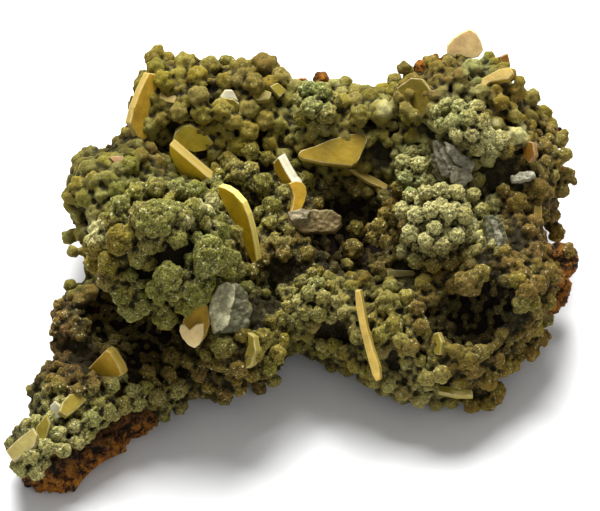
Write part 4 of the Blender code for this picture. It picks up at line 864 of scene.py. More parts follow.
def gathered(name, balls, subdivisions=2):
    """One object of many copies of a ball, each (centre, radius) in millimetres."""
    corners, faces = ball_shape(subdivisions)
    centres = np.array([tuple(centre) for centre, _ in balls])
    radii = np.array([radius for _, radius in balls])
    points = centres[:, None] + radii[:, None, None] * corners[None]
    first = np.arange(len(balls)) * len(corners)
    index = (faces[None] + first[:, None, None]).reshape(-1, 3)
    mesh = bpy.data.meshes.new(name)
    mesh.vertices.add(len(balls) * len(corners))
    mesh.loops.add(index.size)
    mesh.polygons.add(len(index))
    mesh.loops.foreach_set("vertex_index", index.ravel())
    mesh.polygons.foreach_set("loop_start", np.arange(len(index)) * 3)
    set_points(mesh, points.reshape(-1, 3))
    mesh.update(calc_edges=True)
    obj = bpy.data.objects.new(name, mesh)
    bpy.context.scene.collection.objects.link(obj)
    return obj


def roughened(obj, roughness):
    """Pushes the surface in and out by each pattern: its kind, size, strength and middle."""
    for kind, size, strength, middle in roughness:
        texture = bpy.data.textures.new(f"{obj.name}_{kind.lower()}", kind)
        texture.noise_scale = size * MM
        modified(obj, "DISPLACE", texture=texture, texture_coords="LOCAL",
                 strength=strength * MM, mid_level=middle)


def coarse(grain):
    return grain


def dressed(obj, node, material, smooth=True):
    """Finishes a piece: its shading, its material, its body, and the solid it stands for."""
    select_only(obj)
    if smooth:
        bpy.ops.object.shade_smooth()
    else:
        bpy.ops.object.shade_flat()
    obj.data.materials.clear()
    obj.data.materials.append(material)
    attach(obj, "root")
    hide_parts(node)
    return obj


class Finish:
    """A material's nodes, with short ways to add to them."""

    def __init__(self, name):
        self.material = bpy.data.materials.new(name)
        self.material.use_nodes = True
        self.tree = self.material.node_tree
        self.surface = self.tree.nodes["Principled BSDF"]
        self.place = self.add("ShaderNodeTexCoord").outputs["Object"]

    def add(self, kind, **settings):
        node = self.tree.nodes.new(kind)
        for name, value in settings.items():
            setattr(node, name, value)
        return node

    def feed(self, socket, value):
        if isinstance(value, bpy.types.NodeSocket):
            self.tree.links.new(value, socket)
        else:
            socket.default_value = value

    def set(self, **values):
        for name, value in values.items():
            self.feed(self.surface.inputs[name.replace("_", " ").title()], value)

    def noise(self, size, detail=3.0, roughness=0.6, place=None):
        node = self.add("ShaderNodeTexNoise")
        self.feed(node.inputs["Vector"], place or self.place)
        self.feed(node.inputs["Scale"], 1.0 / (size * MM))
        self.feed(node.inputs["Detail"], detail)
        self.feed(node.inputs["Roughness"], roughness)
        return node.outputs["Fac"]

    def cells(self, size, feature="F1"):
        node = self.add("ShaderNodeTexVoronoi", feature=feature)
        self.feed(node.inputs["Vector"], self.place)
        self.feed(node.inputs["Scale"], 1.0 / (size * MM))
        return node.outputs

    def attribute(self, name):
        return self.add("ShaderNodeAttribute", attribute_name=name).outputs

    def ramp(self, value, low, high, low_out=0.0, high_out=1.0):
        node = self.add("ShaderNodeMapRange")
        for name, given in (("Value", value), ("From Min", low), ("From Max", high),
                            ("To Min", low_out), ("To Max", high_out)):
            self.feed(node.inputs[name], given)
        return node.outputs["Result"]

    def sum(self, operation, one, other):
        node = self.add("ShaderNodeMath", operation=operation)
        self.feed(node.inputs[0], one)
        self.feed(node.inputs[1], other)
        return node.outputs[0]

    def mix(self, share, one, other, blend="MIX"):
        node = self.add("ShaderNodeMix", data_type="RGBA", blend_type=blend)
        self.feed(node.inputs[0], share)
        self.feed(node.inputs[6], one)
        self.feed(node.inputs[7], other)
        return node.outputs[2]

    def parts(self, colour):
        node = self.add("ShaderNodeSeparateColor")
        self.feed(node.inputs["Color"], colour)
        return node.outputs

    def bump(self, height, depth, normal=None):
        node = self.add("ShaderNodeBump")
        self.feed(node.inputs["Height"], height)
        self.feed(node.inputs["Distance"], depth * MM)
        if normal is not None:
            self.feed(node.inputs["Normal"], normal)
        return node.outputs["Normal"]

    def facets(self, normal, directions, share):
        """Tilts the normal of each fine crystal its own way."""
        centred = self.add("ShaderNodeVectorMath", operation="SUBTRACT")
        self.feed(centred.inputs[0], directions)
        self.feed(centred.inputs[1], (0.5, 0.5, 0.5))
        tilt = self.add("ShaderNodeVectorMath", operation="SCALE")
        self.feed(tilt.inputs[0], centred.outputs[0])
        self.feed(tilt.inputs["Scale"], share)
        total = self.add("ShaderNodeVectorMath", operation="ADD")
        self.feed(total.inputs[0], normal)
        self.feed(total.inputs[1], tilt.outputs[0])
        unit = self.add("ShaderNodeVectorMath", operation="NORMALIZE")
        self.feed(unit.inputs[0], total.outputs[0])
        return unit.outputs[0]


def kept(name, make):
    """The material of this name, made the first time it is asked for."""
    return bpy.data.materials.get(name) or make(name)


def mimetite_finish(name):
    """Olive druse: fine crystals, each with its own facing and tone, painted glints, and painted shade
    in the crevices.
    """
    paint = colours()
    druse = sizes().druse / MM
    finish = Finish(name)
    growth = finish.attribute("growth")
    shares = finish.parts(growth["Color"])
    tone = finish.ramp(finish.noise(1.6, 4.0), 0.35, 0.65)
    dim = finish.mix(0.22, paint.olive, paint.brown)
    colour = finish.mix(tone, dim, paint.olive)
    colour = finish.mix(shares["Red"], colour, paint.yellow)
    colour = finish.mix(shares["Green"], colour, paint.green)
    colour = finish.mix(shares["Blue"], colour, paint.pale)
    colour = finish.mix(growth["Alpha"], colour, paint.brown)
    fine = finish.cells(druse)
    chance = finish.parts(fine["Color"])
    druse_share = finish.attribute("druse")["Fac"]
    shade = finish.ramp(chance["Red"], 0.0, 1.0, 0.52, 1.55)
    shade = finish.mix(druse_share, (1.0, 1.0, 1.0, 1.0), shade)
    colour = finish.mix(1.0, colour, shade, "MULTIPLY")
    # Painted glints: a few random fine crystals are mixed towards a pale colour.
    painted_glint = finish.ramp(chance["Green"], 0.965, 0.98)
    painted_glint = finish.sum("MULTIPLY", finish.sum("MULTIPLY", painted_glint, 0.55), druse_share)
    colour = finish.mix(painted_glint, colour, (0.75, 0.74, 0.45, 1.0))
    # Painted shade along the seams between the fine crystals.
    seam_shade = finish.ramp(fine["Distance"], 0.5, 0.9, 0.0, 0.50)
    colour = finish.mix(finish.sum("MULTIPLY", seam_shade, druse_share), colour, paint.crevice_shade)
    # Painted shade in the crevices, from the relief.
    sunk = finish.ramp(finish.attribute("relief")["Fac"], 0.20, 0.50, 0.92, 0.0)
    colour = finish.mix(sunk, colour, paint.crevice_shade)
    # Painted shade in the broad folds.
    fold = finish.ramp(finish.attribute("fold")["Fac"], 0.12, 0.50, 0.92, 0.0)
    colour = finish.mix(fold, colour, paint.crevice_shade)
    # Painted shade in the fine pits.
    pit_shade = finish.ramp(finish.attribute("grain")["Fac"], 0.15, 0.45, 0.55, 0.0)
    colour = finish.mix(pit_shade, colour, paint.crevice_shade)
    # Painted shade low between the lumps, from their lift.
    deep = finish.ramp(finish.attribute("lift")["Fac"], 0.18, 0.85, 0.96, 0.0)
    colour = finish.mix(deep, colour, paint.crevice_shade)
    grit = finish.bump(fine["Distance"], -0.35 * druse)
    facing = finish.facets(grit, fine["Color"], finish.sum("MULTIPLY", druse_share, 0.9))
    shine = finish.ramp(chance["Blue"], 0.0, 0.10, 0.40, 0.0)
    finish.set(base_color=colour, roughness=0.5, normal=facing)
    finish.feed(finish.surface.inputs["Specular IOR Level"], shine)
    finish.surface.inputs["Subsurface Weight"].default_value = 0.30
    finish.surface.inputs["Subsurface Radius"].default_value = (1.0, 0.9, 0.3)
    finish.surface.inputs["Subsurface Scale"].default_value = 0.25 * MM
    return finish.material


def limonite_finish(name):
    """Earthy limonite: black coat, brown rock and orange rust, with painted shade in its crevices and
    hollows.
    """
    paint = colours()
    finish = Finish(name)
    shares = finish.parts(finish.attribute("growth")["Color"])
    broad = finish.noise(1.3, 5.0, 0.65)
    fine = finish.noise(0.28, 4.0, 0.7)
    mottle = finish.sum("ADD", finish.sum("MULTIPLY", broad, 0.6), finish.sum("MULTIPLY", fine, 0.4))
    colour = finish.mix(finish.ramp(mottle, 0.44, 0.60), paint.rock_dark, paint.rock_brown)
    rusty = finish.sum("MULTIPLY", shares["Red"], finish.ramp(mottle, 0.43, 0.54))
    earth = finish.mix(finish.ramp(finish.noise(0.7, 4.0), 0.42, 0.60), paint.russet, paint.rust)
    colour = finish.mix(rusty, colour, earth)
    # Darker inside the hollows: partly the rock's black coat, partly painted shade.
    colour = finish.mix(shares["Green"], colour, paint.rock_dark)
    # Painted shade: the rock's crevices are darkened by its relief.
    sunk = finish.ramp(finish.attribute("relief")["Fac"], 0.25, 0.50, 0.9, 0.0)
    colour = finish.mix(sunk, colour, paint.rock_dark)
    finish.set(base_color=colour, roughness=0.88, normal=finish.bump(fine, 0.5))
    finish.surface.inputs["Specular IOR Level"].default_value = 0.10
    return finish.material


def wulfenite_finish(name):
    """Honey wulfenite: deep broad faces, paler rims in fine layers, painted highlights on the bevels,
    glassy, slightly see-through.
    """
    face, rim = WULFENITE_FINISHES[name.split("_")[-1]]
    finish = Finish(name)
    layers = finish.add("ShaderNodeTexNoise", noise_dimensions="1D")
    finish.feed(layers.inputs["W"], finish.attribute("layer")["Fac"])
    finish.feed(layers.inputs["Scale"], 6.0)
    on_rim = finish.attribute("rim")["Fac"]
    lines = finish.ramp(layers.outputs["Fac"], 0.3, 0.7, 0.75, 1.15)
    cloud = finish.ramp(finish.noise(1.8, 3.0), 0.3, 0.7, 0.68, 1.20)
    colour = finish.mix(on_rim, finish.mix(1.0, face, cloud, "MULTIPLY"),
                        finish.mix(1.0, rim, lines, "MULTIPLY"))
    dust = finish.ramp(finish.noise(0.30, 4.0, 0.7), 0.58, 0.72, 0.0, 0.30)
    colour = finish.mix(dust, colour, rim)
    # Painted highlight along the bevels, in patches: they are mixed towards a pale cream.
    edge_highlight = finish.ramp(finish.noise(0.5, 4.0), 0.42, 0.60, 0.10, 0.60)
    edge = finish.sum("MULTIPLY", finish.attribute("edge")["Fac"], edge_highlight)
    colour = finish.mix(edge, colour, finish.mix(0.5, rim, (0.90, 0.84, 0.60, 1.0)))
    rough = finish.ramp(finish.noise(0.6, 3.0), 0.3, 0.7, 0.30, 0.55)
    etched = finish.bump(finish.noise(0.45, 4.0), 0.06)
    lined = finish.bump(finish.sum("MULTIPLY", layers.outputs["Fac"], on_rim), 0.10, etched)
    finish.set(base_color=colour, roughness=rough, normal=lined)
    finish.surface.inputs["IOR"].default_value = 1.5
    finish.surface.inputs["Specular IOR Level"].default_value = 0.15
    finish.surface.inputs["Subsurface Weight"].default_value = 0.25
    finish.surface.inputs["Subsurface Radius"].default_value = (1.0, 0.7, 0.25)
    finish.surface.inputs["Subsurface Scale"].default_value = 0.8 * MM
    finish.surface.inputs["Transmission Weight"].default_value = 0.10
    return finish.material


def calcite_finish(name):
    """Cloudy calcite: darker where it is clear, whitish where it is frosted."""
    clear, cloudy, frosted = CALCITE_FINISHES[name.split("_")[-1]]
    finish = Finish(name)
    cloud = finish.ramp(finish.noise(1.1, 5.0, 0.70), 0.42, 0.62)
    colour = finish.mix(cloud, clear, cloudy)
    frost = finish.ramp(finish.noise(0.22, 4.0, 0.7), 0.54, 0.66, 0.0, frosted)
    colour = finish.mix(frost, colour, colours().frost)
    finish.set(base_color=colour, roughness=0.45, normal=finish.bump(finish.noise(0.3, 4.0), 0.10))
    finish.surface.inputs["IOR"].default_value = 1.6
    finish.surface.inputs["Specular IOR Level"].default_value = 0.18
    finish.surface.inputs["Transmission Weight"].default_value = 0.12
    return finish.material


class Face:
    """The base of the crust, on which everything that grows is placed."""

    def __init__(self):
        base = merged_copy("limonite_matrix", "base_of_crust")
        rock = points_of(base.data)
        self.rock_points = rock
        self.points = rock + normals_of(base.data) * (sizes().crust_thickness / MM)
        base.data.calc_loop_triangles()
        self.faces = np.array([tuple(face.vertices) for face in base.data.loop_triangles])
        self.tree = BVHTree.FromPolygons(self.points.tolist(), self.faces.tolist())
        self.rock = BVHTree.FromPolygons(notched(rock, ROCK_MARGIN).tolist(), self.faces.tolist())
        self.rim = [Vector((p.x, p.dot(UP), p.dot(OUT))) for p in map(Vector, self.points)]
        bpy.data.objects.remove(base)
        crust = merged_copy("mimetite_crust", "crust_solid")
        crust.data.calc_loop_triangles()
        faces = [tuple(face.vertices) for face in crust.data.loop_triangles]
        self.crust = BVHTree.FromPolygons(points_of(crust.data).tolist(), faces)
        bpy.data.objects.remove(crust)

    def spot(self, across, up, lift=0.0):
        """The world point, in millimetres, that stands out of the base by lift at (across, up)."""
        seen = ACROSS * across + UP * up
        hit = self.tree.ray_cast(seen + OUT * FAR, -OUT)[0]
        if hit is not None:
            return hit + OUT * lift
        rim = min(self.rim, key=lambda p: (p.x - across) ** 2 + (p.y - up) ** 2)
        inward = Vector((rim.x - across, rim.y - up))
        inward *= max(0.0, 1 - RIM_INSET / inward.length)
        return ACROSS * (across + inward.x) + UP * (up + inward.y) + OUT * (rim.z + lift)

    def outward(self, point):
        return self.tree.find_nearest(point)[1].normalized()

    def under_crust(self, point, reach=0.75):
        """Whether the crust reaches this point of its base."""
        return self.crust.find_nearest(point)[3] < reach

    def samples(self, surface, count, chance):
        """Random picks, evenly over the faces between these points, with their normals."""
        corners = surface[self.faces]
        cross = np.cross(corners[:, 1] - corners[:, 0], corners[:, 2] - corners[:, 0])
        area = np.linalg.norm(cross, axis=1)
        picked = chance.choice(len(area), size=count, p=area / area.sum())
        u, v = chance.random(count), chance.random(count)
        over = u + v > 1
        u[over], v[over] = 1 - u[over], 1 - v[over]
        return (picked, u[:, None], v[:, None]), cross[picked] / area[picked][:, None]

    def places(self, surface, picks):
        """Where random picks lie on the faces between these points."""
        picked, u, v = picks
        a, b, c = surface[self.faces][picked].transpose(1, 0, 2)
        return a + (b - a) * u + (c - a) * v


class Crowd:
    """Lumps that have a place so far, kept in cells so that near ones are found quickly."""

    CELL = 1.6

    def __init__(self):
        self.cells = {}
        self.lumps = []

    def add(self, place, radius, outward):
        key = tuple(int(math.floor(c / self.CELL)) for c in place)
        self.cells.setdefault(key, []).append((place, radius))
        self.lumps.append((place, radius, outward))

    def free(self, place, radius, share):
        """Whether a lump fits here without sinking too far into the others."""
        key = [int(math.floor(c / self.CELL)) for c in place]
        near = range(-1, 2)
        for x in near:
            for y in near:
                for z in near:
                    for other, reach in self.cells.get((key[0] + x, key[1] + y, key[2] + z), ()):
                        if (place - other).length < share * (radius + reach):
                            return False
        return True


def lobed(place, radius, outward, lobelet, depth, chance):
    """Balls, as (centre, radius), of one lump: a core, and small lobes on its outer side.

    The depth of the clefts between the small lobes is a share of their radius.
    """
    typical = lobelet * radius ** 0.7
    balls = [(place, radius - depth * typical)]
    count = max(6, round(2.0 * (radius / typical) ** 2))
    turn = chance.uniform(0, math.tau)
    facing = outward.to_track_quat("Z", "Y")
    for i in range(count):
        height = 1 - 1.35 * (i + 0.5) / count
        wide = math.sqrt(max(0.0, 1 - height * height))
        angle = turn + i * GOLDEN_ANGLE
        way = Vector((wide * math.cos(angle), wide * math.sin(angle), height))
        way += Vector(chance.uniform(-0.16, 0.16, 3))
        size = typical * chance.uniform(0.65, 1.25)
        balls.append((place + facing @ way.normalized() * (radius - 0.88 * size), size))
    return balls


def grown(name, balls, grain, subdivisions=2):
    """Balls fused in one skin and softened."""
    obj = gathered(name, balls, subdivisions)
    modified(obj, "REMESH", mode="VOXEL", voxel_size=coarse(grain))
    return modified(obj, "SMOOTH", factor=0.5, iterations=1)


def growth_tint(points):
    """Shares of yellow, green, pale and brown at world points, in millimetres."""
    seen = seen_at(points)
    front = np.clip(0.6 + points @ np.array(OUT) / 14.0, 0.0, 1.0)
    shares = np.tile(np.array(USUAL_TINT), (len(points), 1))
    for across, up, radius, *tint in GROWTH_TINTS:
        far = np.hypot(seen[:, 0] - across, seen[:, 1] - up) / radius
        weight = (np.clip(1.6 - far, 0.0, 0.6) / 0.6)[:, None] * front[:, None]
        shares = shares * (1 - weight) + np.array(tint) * weight
    weight = np.clip((1.2 - vug_depths(points).min(axis=1)) / 0.15, 0.0, 1.0)[:, None]
    return shares * (1 - weight) + np.array(HOLLOW_TINT) * weight


def store_growth(mesh, lumps, chance):
    """Keeps the tint of each corner, a little different from one lump to the next."""
    points = points_of(mesh)
    shares = growth_tint(points)
    tree = kdtree.KDTree(len(lumps))
    for i, (place, *_) in enumerate(lumps):
        tree.insert(place, i)
    tree.balance()
    own = chance.normal(0.0, 1.0, (len(lumps), 4)) * np.array(TINT_SPREAD)
    nearest = np.array([tree.find(point)[1] for point in points])
    shares = spread(np.clip(shares + own[nearest], 0.0, 1.0), edges_of(mesh), 2)
    store(mesh, "growth", shares)


def lift_of(mesh, face):
    """How far each corner stands out of the rock, from 0 at the coat to 1 at the lumps."""
    far = np.array([face.rock.find_nearest(Vector(point))[3] for point in points_of(mesh)])
    return (far - sizes().coat / MM) / LIFT_SPAN


def add_mimetite(obj, node, lift, lumps, chance, relief_rounds, relief_depth, druse=1.0):
    """Stores what the mimetite finish reads, and dresses the piece in it."""
    mesh = obj.data
    store(mesh, "druse", np.full(len(mesh.vertices), druse))
    # The finish paints shade where a corner's lift, relief, grain or fold is low.
    store(mesh, "lift", np.clip(spread(lift, edges_of(mesh), 2), 0.0, 1.0))
    store_relief(mesh, "relief", relief_rounds, relief_depth)
    store_relief(mesh, "grain", 3, 0.035)
    store_relief(mesh, "fold", 70, 0.42)
    store_growth(mesh, lumps, chance)
    return dressed(obj, node, kept("drusy_mimetite", mimetite_finish))


def region_of(place, outward):
    """The name of the crust region that a lump belongs to."""
    if outward.dot(OUT) < -0.12:
        return min(HIDDEN_REGIONS, key=lambda name: abs(HIDDEN_REGIONS[name] - place.x))
    up = place.dot(UP)
    centres = CRUST_REGIONS
    return min(centres, key=lambda n: (centres[n][0] - place.x) ** 2 + (centres[n][1] - up) ** 2)


def random_radii(limits, count, chance):
    smallest, more = limits
    return smallest + more * chance.random(count)


def lump_crowd(face, chance):
    """All the crust's lumps: those with a place of their own, and the small ones between."""
    crowd = Crowd()
    for across, up, radius, *raised in CRUST_LUMPS:
        place = face.spot(across, up, LUMP_LIFT * radius + sum(raised))
        outward = (face.outward(place) + OUT * 0.6).normalized()
        crowd.add(place, radius, outward)
        root = face.tree.find_nearest(place)[0]
        if (root - place).length > 0.5 * radius:
            crowd.add(root, 0.85 * radius, outward)
    inside = [(face.spot(*knob["core"]), knob["core_radius"] - 0.6) for knob in KNOBS.values()]
    picks, normals = face.samples(face.points, CRUST_TRIES, chance)
    roots = face.places(face.points, picks)
    places = notched(roots, NOTCH_MARGIN)
    wanted = random_radii(SOWN_RADIUS, CRUST_TRIES, chance)
    wanted[-SMALL_TRIES:] = random_radii(SMALL_RADIUS, SMALL_TRIES, chance)
    sow(crowd, face, inside, zip(roots, places, normals, wanted), chance)
    walls = notched(face.points, WALL_MARGIN)
    picks, normals = face.samples(walls, CRUST_TRIES, chance)
    places = notched(face.places(walls, picks), WALL_MARGIN)
    near = np.linalg.norm(notched(places, 2 * NOTCH_MARGIN) - places, axis=1) > 0
    roots = face.places(face.points, picks)[near]
    wanted = random_radii(WALL_RADIUS, len(roots), chance)
    sow(crowd, face, inside, zip(roots, places[near], normals[near], wanted), chance)
    return crowd.lumps


def sow(crowd, face, inside, tries, chance):
    """Adds a lump for each try, as (root, place, normal, radius), that finds room on the crust."""
    for root, *try_at, radius in tries:
        place, normal = map(Vector, try_at)
        seen = (place.x, place.dot(UP))
        if any((place - core).length < reach for core, reach in inside):
            continue
        side = 1.0 - abs(normal.dot(OUT))
        sunk = place - normal * (chance.uniform(0.1, 0.4) + 0.5 * side * side)
        shown = normal.dot(OUT) > 0
        if shown and below_edge(*seen) > 0:
            continue
        if shown and in_pocket(*seen):
            radius *= POCKET_SIZE
            sunk = place - normal * POCKET_SINK
        if crowd.free(sunk, radius, CRUST_NEARNESS) and face.under_crust(Vector(root)):
            crowd.add(sunk, radius, normal)


def knob_lobes(centre, knob):
    """The lobes that have a place of their own, on the sphere of the knob's reach."""
    middle = Vector((centre.dot(ACROSS), centre.dot(UP), centre.dot(OUT)))
    for across, up, radius, sink in knob["lobes"]:
        flat = min(1.0, math.hypot(across - middle.x, up - middle.y) / knob["reach"])
        out = middle.z + knob["reach"] * math.sqrt(1 - flat * flat) - sink
        yield ACROSS * across + UP * up + OUT * out, radius


def knob_filling(centre, reach, lobes, chance):
    """Smaller lobes in the gaps between a knob's own, but for its clefts."""
    crowd = Crowd()
    for place, radius, outward in lobes:
        crowd.add(place, radius, outward)
    own = len(lobes)
    for way in map(Vector, chance.normal(0.0, 1.0, (FILLING_TRIES, 3))):
        outward = way.normalized()
        radius = chance.uniform(*FILLING_RADIUS)
        place = centre + outward * (reach - chance.uniform(0.75, 1.4))
        seen = Vector((place.x, place.dot(UP)))
        cleft = any((seen - Vector(spot[:2])).length < spot[2] for spot in CLEFTS)
        if (outward.dot(OUT) < 0 or not cleft) and crowd.free(place, radius, FILLING_NEARNESS):
            crowd.add(place, radius, outward)
    return crowd.lumps[own:]


class SPECIMEN_OT_matrix(bpy.types.Operator):
    """Limonite matrix: the rough rock, dark in its hollows, partly as painted shade, and rusty along
    the foot
    """

    bl_idname = "specimen.matrix"
    bl_label = "Limonite Matrix"

    def execute(self, context):
        rock = merged_copy("limonite_matrix", "limonite_rock")
        modified(rock, "REMESH", mode="VOXEL", voxel_size=coarse(sizes().rock_grain))
        modified(rock, "SMOOTH", factor=0.5, iterations=24)
        roughened(rock, ROCK_ROUGHNESS)
        mesh = rock.data
        points = notched(points_of(mesh), ROCK_MARGIN)
        points[:, 2] = np.maximum(points[:, 2], 0.0)
        set_points(mesh, points)
        seen = seen_at(points)
        rusty = np.full(len(points), LEAST_RUST)
        for across, up, radius, share in RUST_SPOTS:
            far = np.hypot(seen[:, 0] - across, seen[:, 1] - up) / radius
            rusty = np.maximum(rusty, share * np.clip(1.5 - far, 0.0, 0.5) * 2)
        band = np.clip((4.2 - points[:, 2]) / 2.2, 0.0, 1.0)
        low = np.clip((1.4 - points[:, 2]) / 1.4, 0.0, 1.0)
        rusty = np.clip(rusty * (0.25 + 0.75 * band) + 0.25 * low, 0.0, 1.0)
        # The rock is darkened inside the hollows, partly for its black coat and partly as painted
        # shade; the share is kept in the green of its growth.
        dark = np.clip((1.45 - vug_depths(points).min(axis=1)) / 0.3, 0.0, 1.0)
        growth = np.stack([rusty, 0.8 * dark, np.zeros(len(points)), np.ones(len(points))], axis=1)
        store(mesh, "growth", growth)
        store_relief(mesh, "relief", 8, 0.22)
        dressed(rock, "limonite_matrix", kept("earthy_limonite", limonite_finish))
        face = Face()
        balls = [(face.spot(*spot), radius) for *spot, radius in RUSTY_EDGE]
        chunk = grown("rusty_edge", balls, sizes().rust_grain)
        roughened(chunk, EDGE_ROUGHNESS)
        mesh = chunk.data
        store(mesh, "growth", np.tile(EDGE_GROWTH, (len(mesh.vertices), 1)))
        store_relief(mesh, "relief", 8, 0.18)
        dressed(chunk, "limonite_matrix", kept("earthy_limonite", limonite_finish))
        return {"FINISHED"}


class SPECIMEN_OT_coat(bpy.types.Operator):
    """Coat: the thin crust between the lumps, which dips under the rock where no crust grows"""

    bl_idname = "specimen.coat"
    bl_label = "Crust Coat"

    def execute(self, context):
        chance = np.random.default_rng(11)
        face = Face()
        coat = merged_copy("limonite_matrix", "crust_coat")
        modified(coat, "REMESH", mode="VOXEL", voxel_size=coarse(sizes().coat_grain))
        modified(coat, "SMOOTH", factor=0.5, iterations=8)
        mesh = coat.data
        points, normals = points_of(mesh), normals_of(mesh)
        reach = sizes().crust_thickness / MM
        base = points + normals * reach
        under = np.array([float(face.under_crust(Vector(p))) for p in base])
        seen = seen_at(base)
        bare = (below_edge(seen[:, 0], seen[:, 1]) > 0) & (normals @ np.array(OUT) > -0.3)
        under = spread(np.where(bare, 0.0, under), edges_of(mesh), 2)
        lift = under * (sizes().coat / MM + COAT_DIP) - COAT_DIP
        set_points(mesh, points + normals * lift[:, None])
        roughened(coat, COAT_ROUGHNESS)
        points = notched(points_of(mesh))
        points[:, 2] = np.maximum(points[:, 2], COAT_LOWEST)
        set_points(mesh, points)
        lumps = [(Vector(p),) for p in points[::COAT_PATCH]]
        add_mimetite(coat, "mimetite_crust", lift_of(mesh, face), lumps, chance, 4, 0.3)
        return {"FINISHED"}


class SPECIMEN_OT_crust(bpy.types.Operator):
    """Crust: botryoidal mimetite lumps over the upper and outer faces of the rock"""

    bl_idname = "specimen.crust"
    bl_label = "Mimetite Crust"

    def execute(self, context):
        chance = np.random.default_rng(7)
        face = Face()
        lumps = lump_crowd(face, chance)
        lobelet = sizes().lobelet / MM
        regions = {}
        for lump in lumps:
            regions.setdefault(region_of(lump[0], lump[2]), []).append(lump)
        for name, members in regions.items():
            hidden = name in HIDDEN_REGIONS
            balls = []
            for place, radius, outward in members:
                balls += lobed(place, radius, outward, lobelet, CRUST_CLEFT, chance)
            piece = grown(name, balls, sizes().hidden_grain if hidden else sizes().crust_grain)
            fineness = DRUSE_SHARES.get(name, CRUST_DRUSE)
            roughened(piece, (("CLOUDS", 1.2, 0.25, 0.5), ("VORONOI", 0.40, -0.18 * fineness, 0.4)))
            lift = lift_of(piece.data, face)
            add_mimetite(piece, "mimetite_crust", lift, members, chance, 14, 0.20, fineness)
        return {"FINISHED"}


class SPECIMEN_OT_hollows(bpy.types.Operator):
    """Hollows: small brown lumps on the walls of the vugs"""

    bl_idname = "specimen.hollows"
    bl_label = "Lumps in the Hollows"

    def execute(self, context):
        chance = np.random.default_rng(5)
        face = Face()
        crowd = Crowd()
        picks, normals = face.samples(face.rock_points, HOLLOW_TRIES, chance)
        places = face.places(face.rock_points, picks)
        inside = vug_depths(places).min(axis=1) < VUG_REACH
        places, normals = places[inside], normals[inside]
        smallest, more = HOLLOW_RADIUS
        wanted = smallest + more * chance.random(len(places)) ** 1.5
        for place, normal, radius in zip(map(Vector, places), map(Vector, normals), wanted):
            if crowd.free(place, radius, HOLLOW_NEARNESS):
                crowd.add(place + normal * 0.1, radius, normal)
        balls = []
        for place, radius, outward in crowd.lumps:
            balls += lobed(place, radius, outward, sizes().lobelet / MM, CRUST_CLEFT, chance)
        piece = grown("hollow_lumps", balls, sizes().crust_grain)
        mesh = piece.data
        nearest = vug_depths(points_of(mesh)).argmin(axis=1)
        # Each lump takes its vug's lift, so the finish paints it with that vug's share of shade.
        lift = np.array([vug[6] for vug in VUGS])[nearest]
        add_mimetite(piece, "mimetite_crust", lift, crowd.lumps, chance, 12, 0.20)
        return {"FINISHED"}


class SPECIMEN_OT_knobs(bpy.types.Operator):
    """Knobs: mimetite that stands clear of the crust in drusy lobes"""

    bl_idname = "specimen.knobs"
    bl_label = "Mimetite Knobs"

    def execute(self, context):
        chance = np.random.default_rng(3)
        face = Face()
        for node, knob in KNOBS.items():
            lobelet = sizes().lobelet / MM * knob["fineness"]
            centre = face.spot(*knob["core"])
            reach, core_radius = knob["reach"], knob["core_radius"] - CORE_SINK
            lumps = [(place, radius, (place - centre).normalized())
                     for place, radius in knob_lobes(centre, knob)]
            lumps += knob_filling(centre, reach, lumps, chance)
            balls = [(centre, core_radius)]
            for place, radius, outward in lumps:
                balls += lobed(place, radius, outward, lobelet, KNOB_CLEFT, chance)
            piece = grown(node.replace("mimetite_", ""), balls, sizes().knob_grain * knob["fineness"])
            roughened(piece, KNOB_ROUGHNESS)
            far = np.linalg.norm(points_of(piece.data) - np.array(centre), axis=1)
            lift = (far - core_radius) / (reach - core_radius)
            add_mimetite(piece, node, lift, lumps, chance, 18, 0.22)
        return {"FINISHED"}


def slab(name, place, normal, thickness, outline, face):
    """A slab whose face has the outline that is seen, extruded away from the viewer."""
    anchor, way = face.spot(*place), turned(normal)
    bpy.ops.object.select_all(action="DESELECT")
    bpy.ops.mesh.primitive_circle_add(vertices=len(outline), radius=MM, fill_type="NGON")
    obj = bpy.context.object
    obj.name = obj.data.name = name
    for vertex, (across, up) in zip(obj.data.vertices, outline):
        seen = ACROSS * across + UP * up
        vertex.co = (seen + OUT * ((anchor - seen).dot(way) / OUT.dot(way))) * MM
    bpy.ops.object.mode_set(mode="EDIT")
    bpy.ops.mesh.select_all(action="SELECT")
    bpy.ops.mesh.extrude_region_move(TRANSFORM_OT_translate={"value": way * -thickness * MM})
    bpy.ops.mesh.select_all(action="SELECT")
    bpy.ops.mesh.normals_make_consistent(inside=False)
    bpy.ops.object.mode_set(mode="OBJECT")
    return obj


def plate(name, shape, face):
    """A wulfenite plate: a slab with bevelled rims, which stores where its rims are."""
    place, normal, thickness, _, outline = shape
    anchor, way = face.spot(*place), turned(normal)
    obj = slab(name, place, normal, thickness, outline, face)
    modified(obj, "BEVEL", width=sizes().rim_bevel, segments=2, limit_method="ANGLE",
             angle_limit=SHARP_ANGLE)
    mesh = obj.data
    tilts = [abs(side.normal.dot(way)) for side in mesh.polygons]
    for field, low, high in TILTS:
        marked = [float(low < tilt < high) for tilt in tilts]
        mesh.attributes.new(field, "FLOAT", "FACE").data.foreach_set("value", marked)
    depth = (points_of(mesh) - np.array(anchor)) @ np.array(way) / -thickness
    store(mesh, "layer", depth)
    return obj


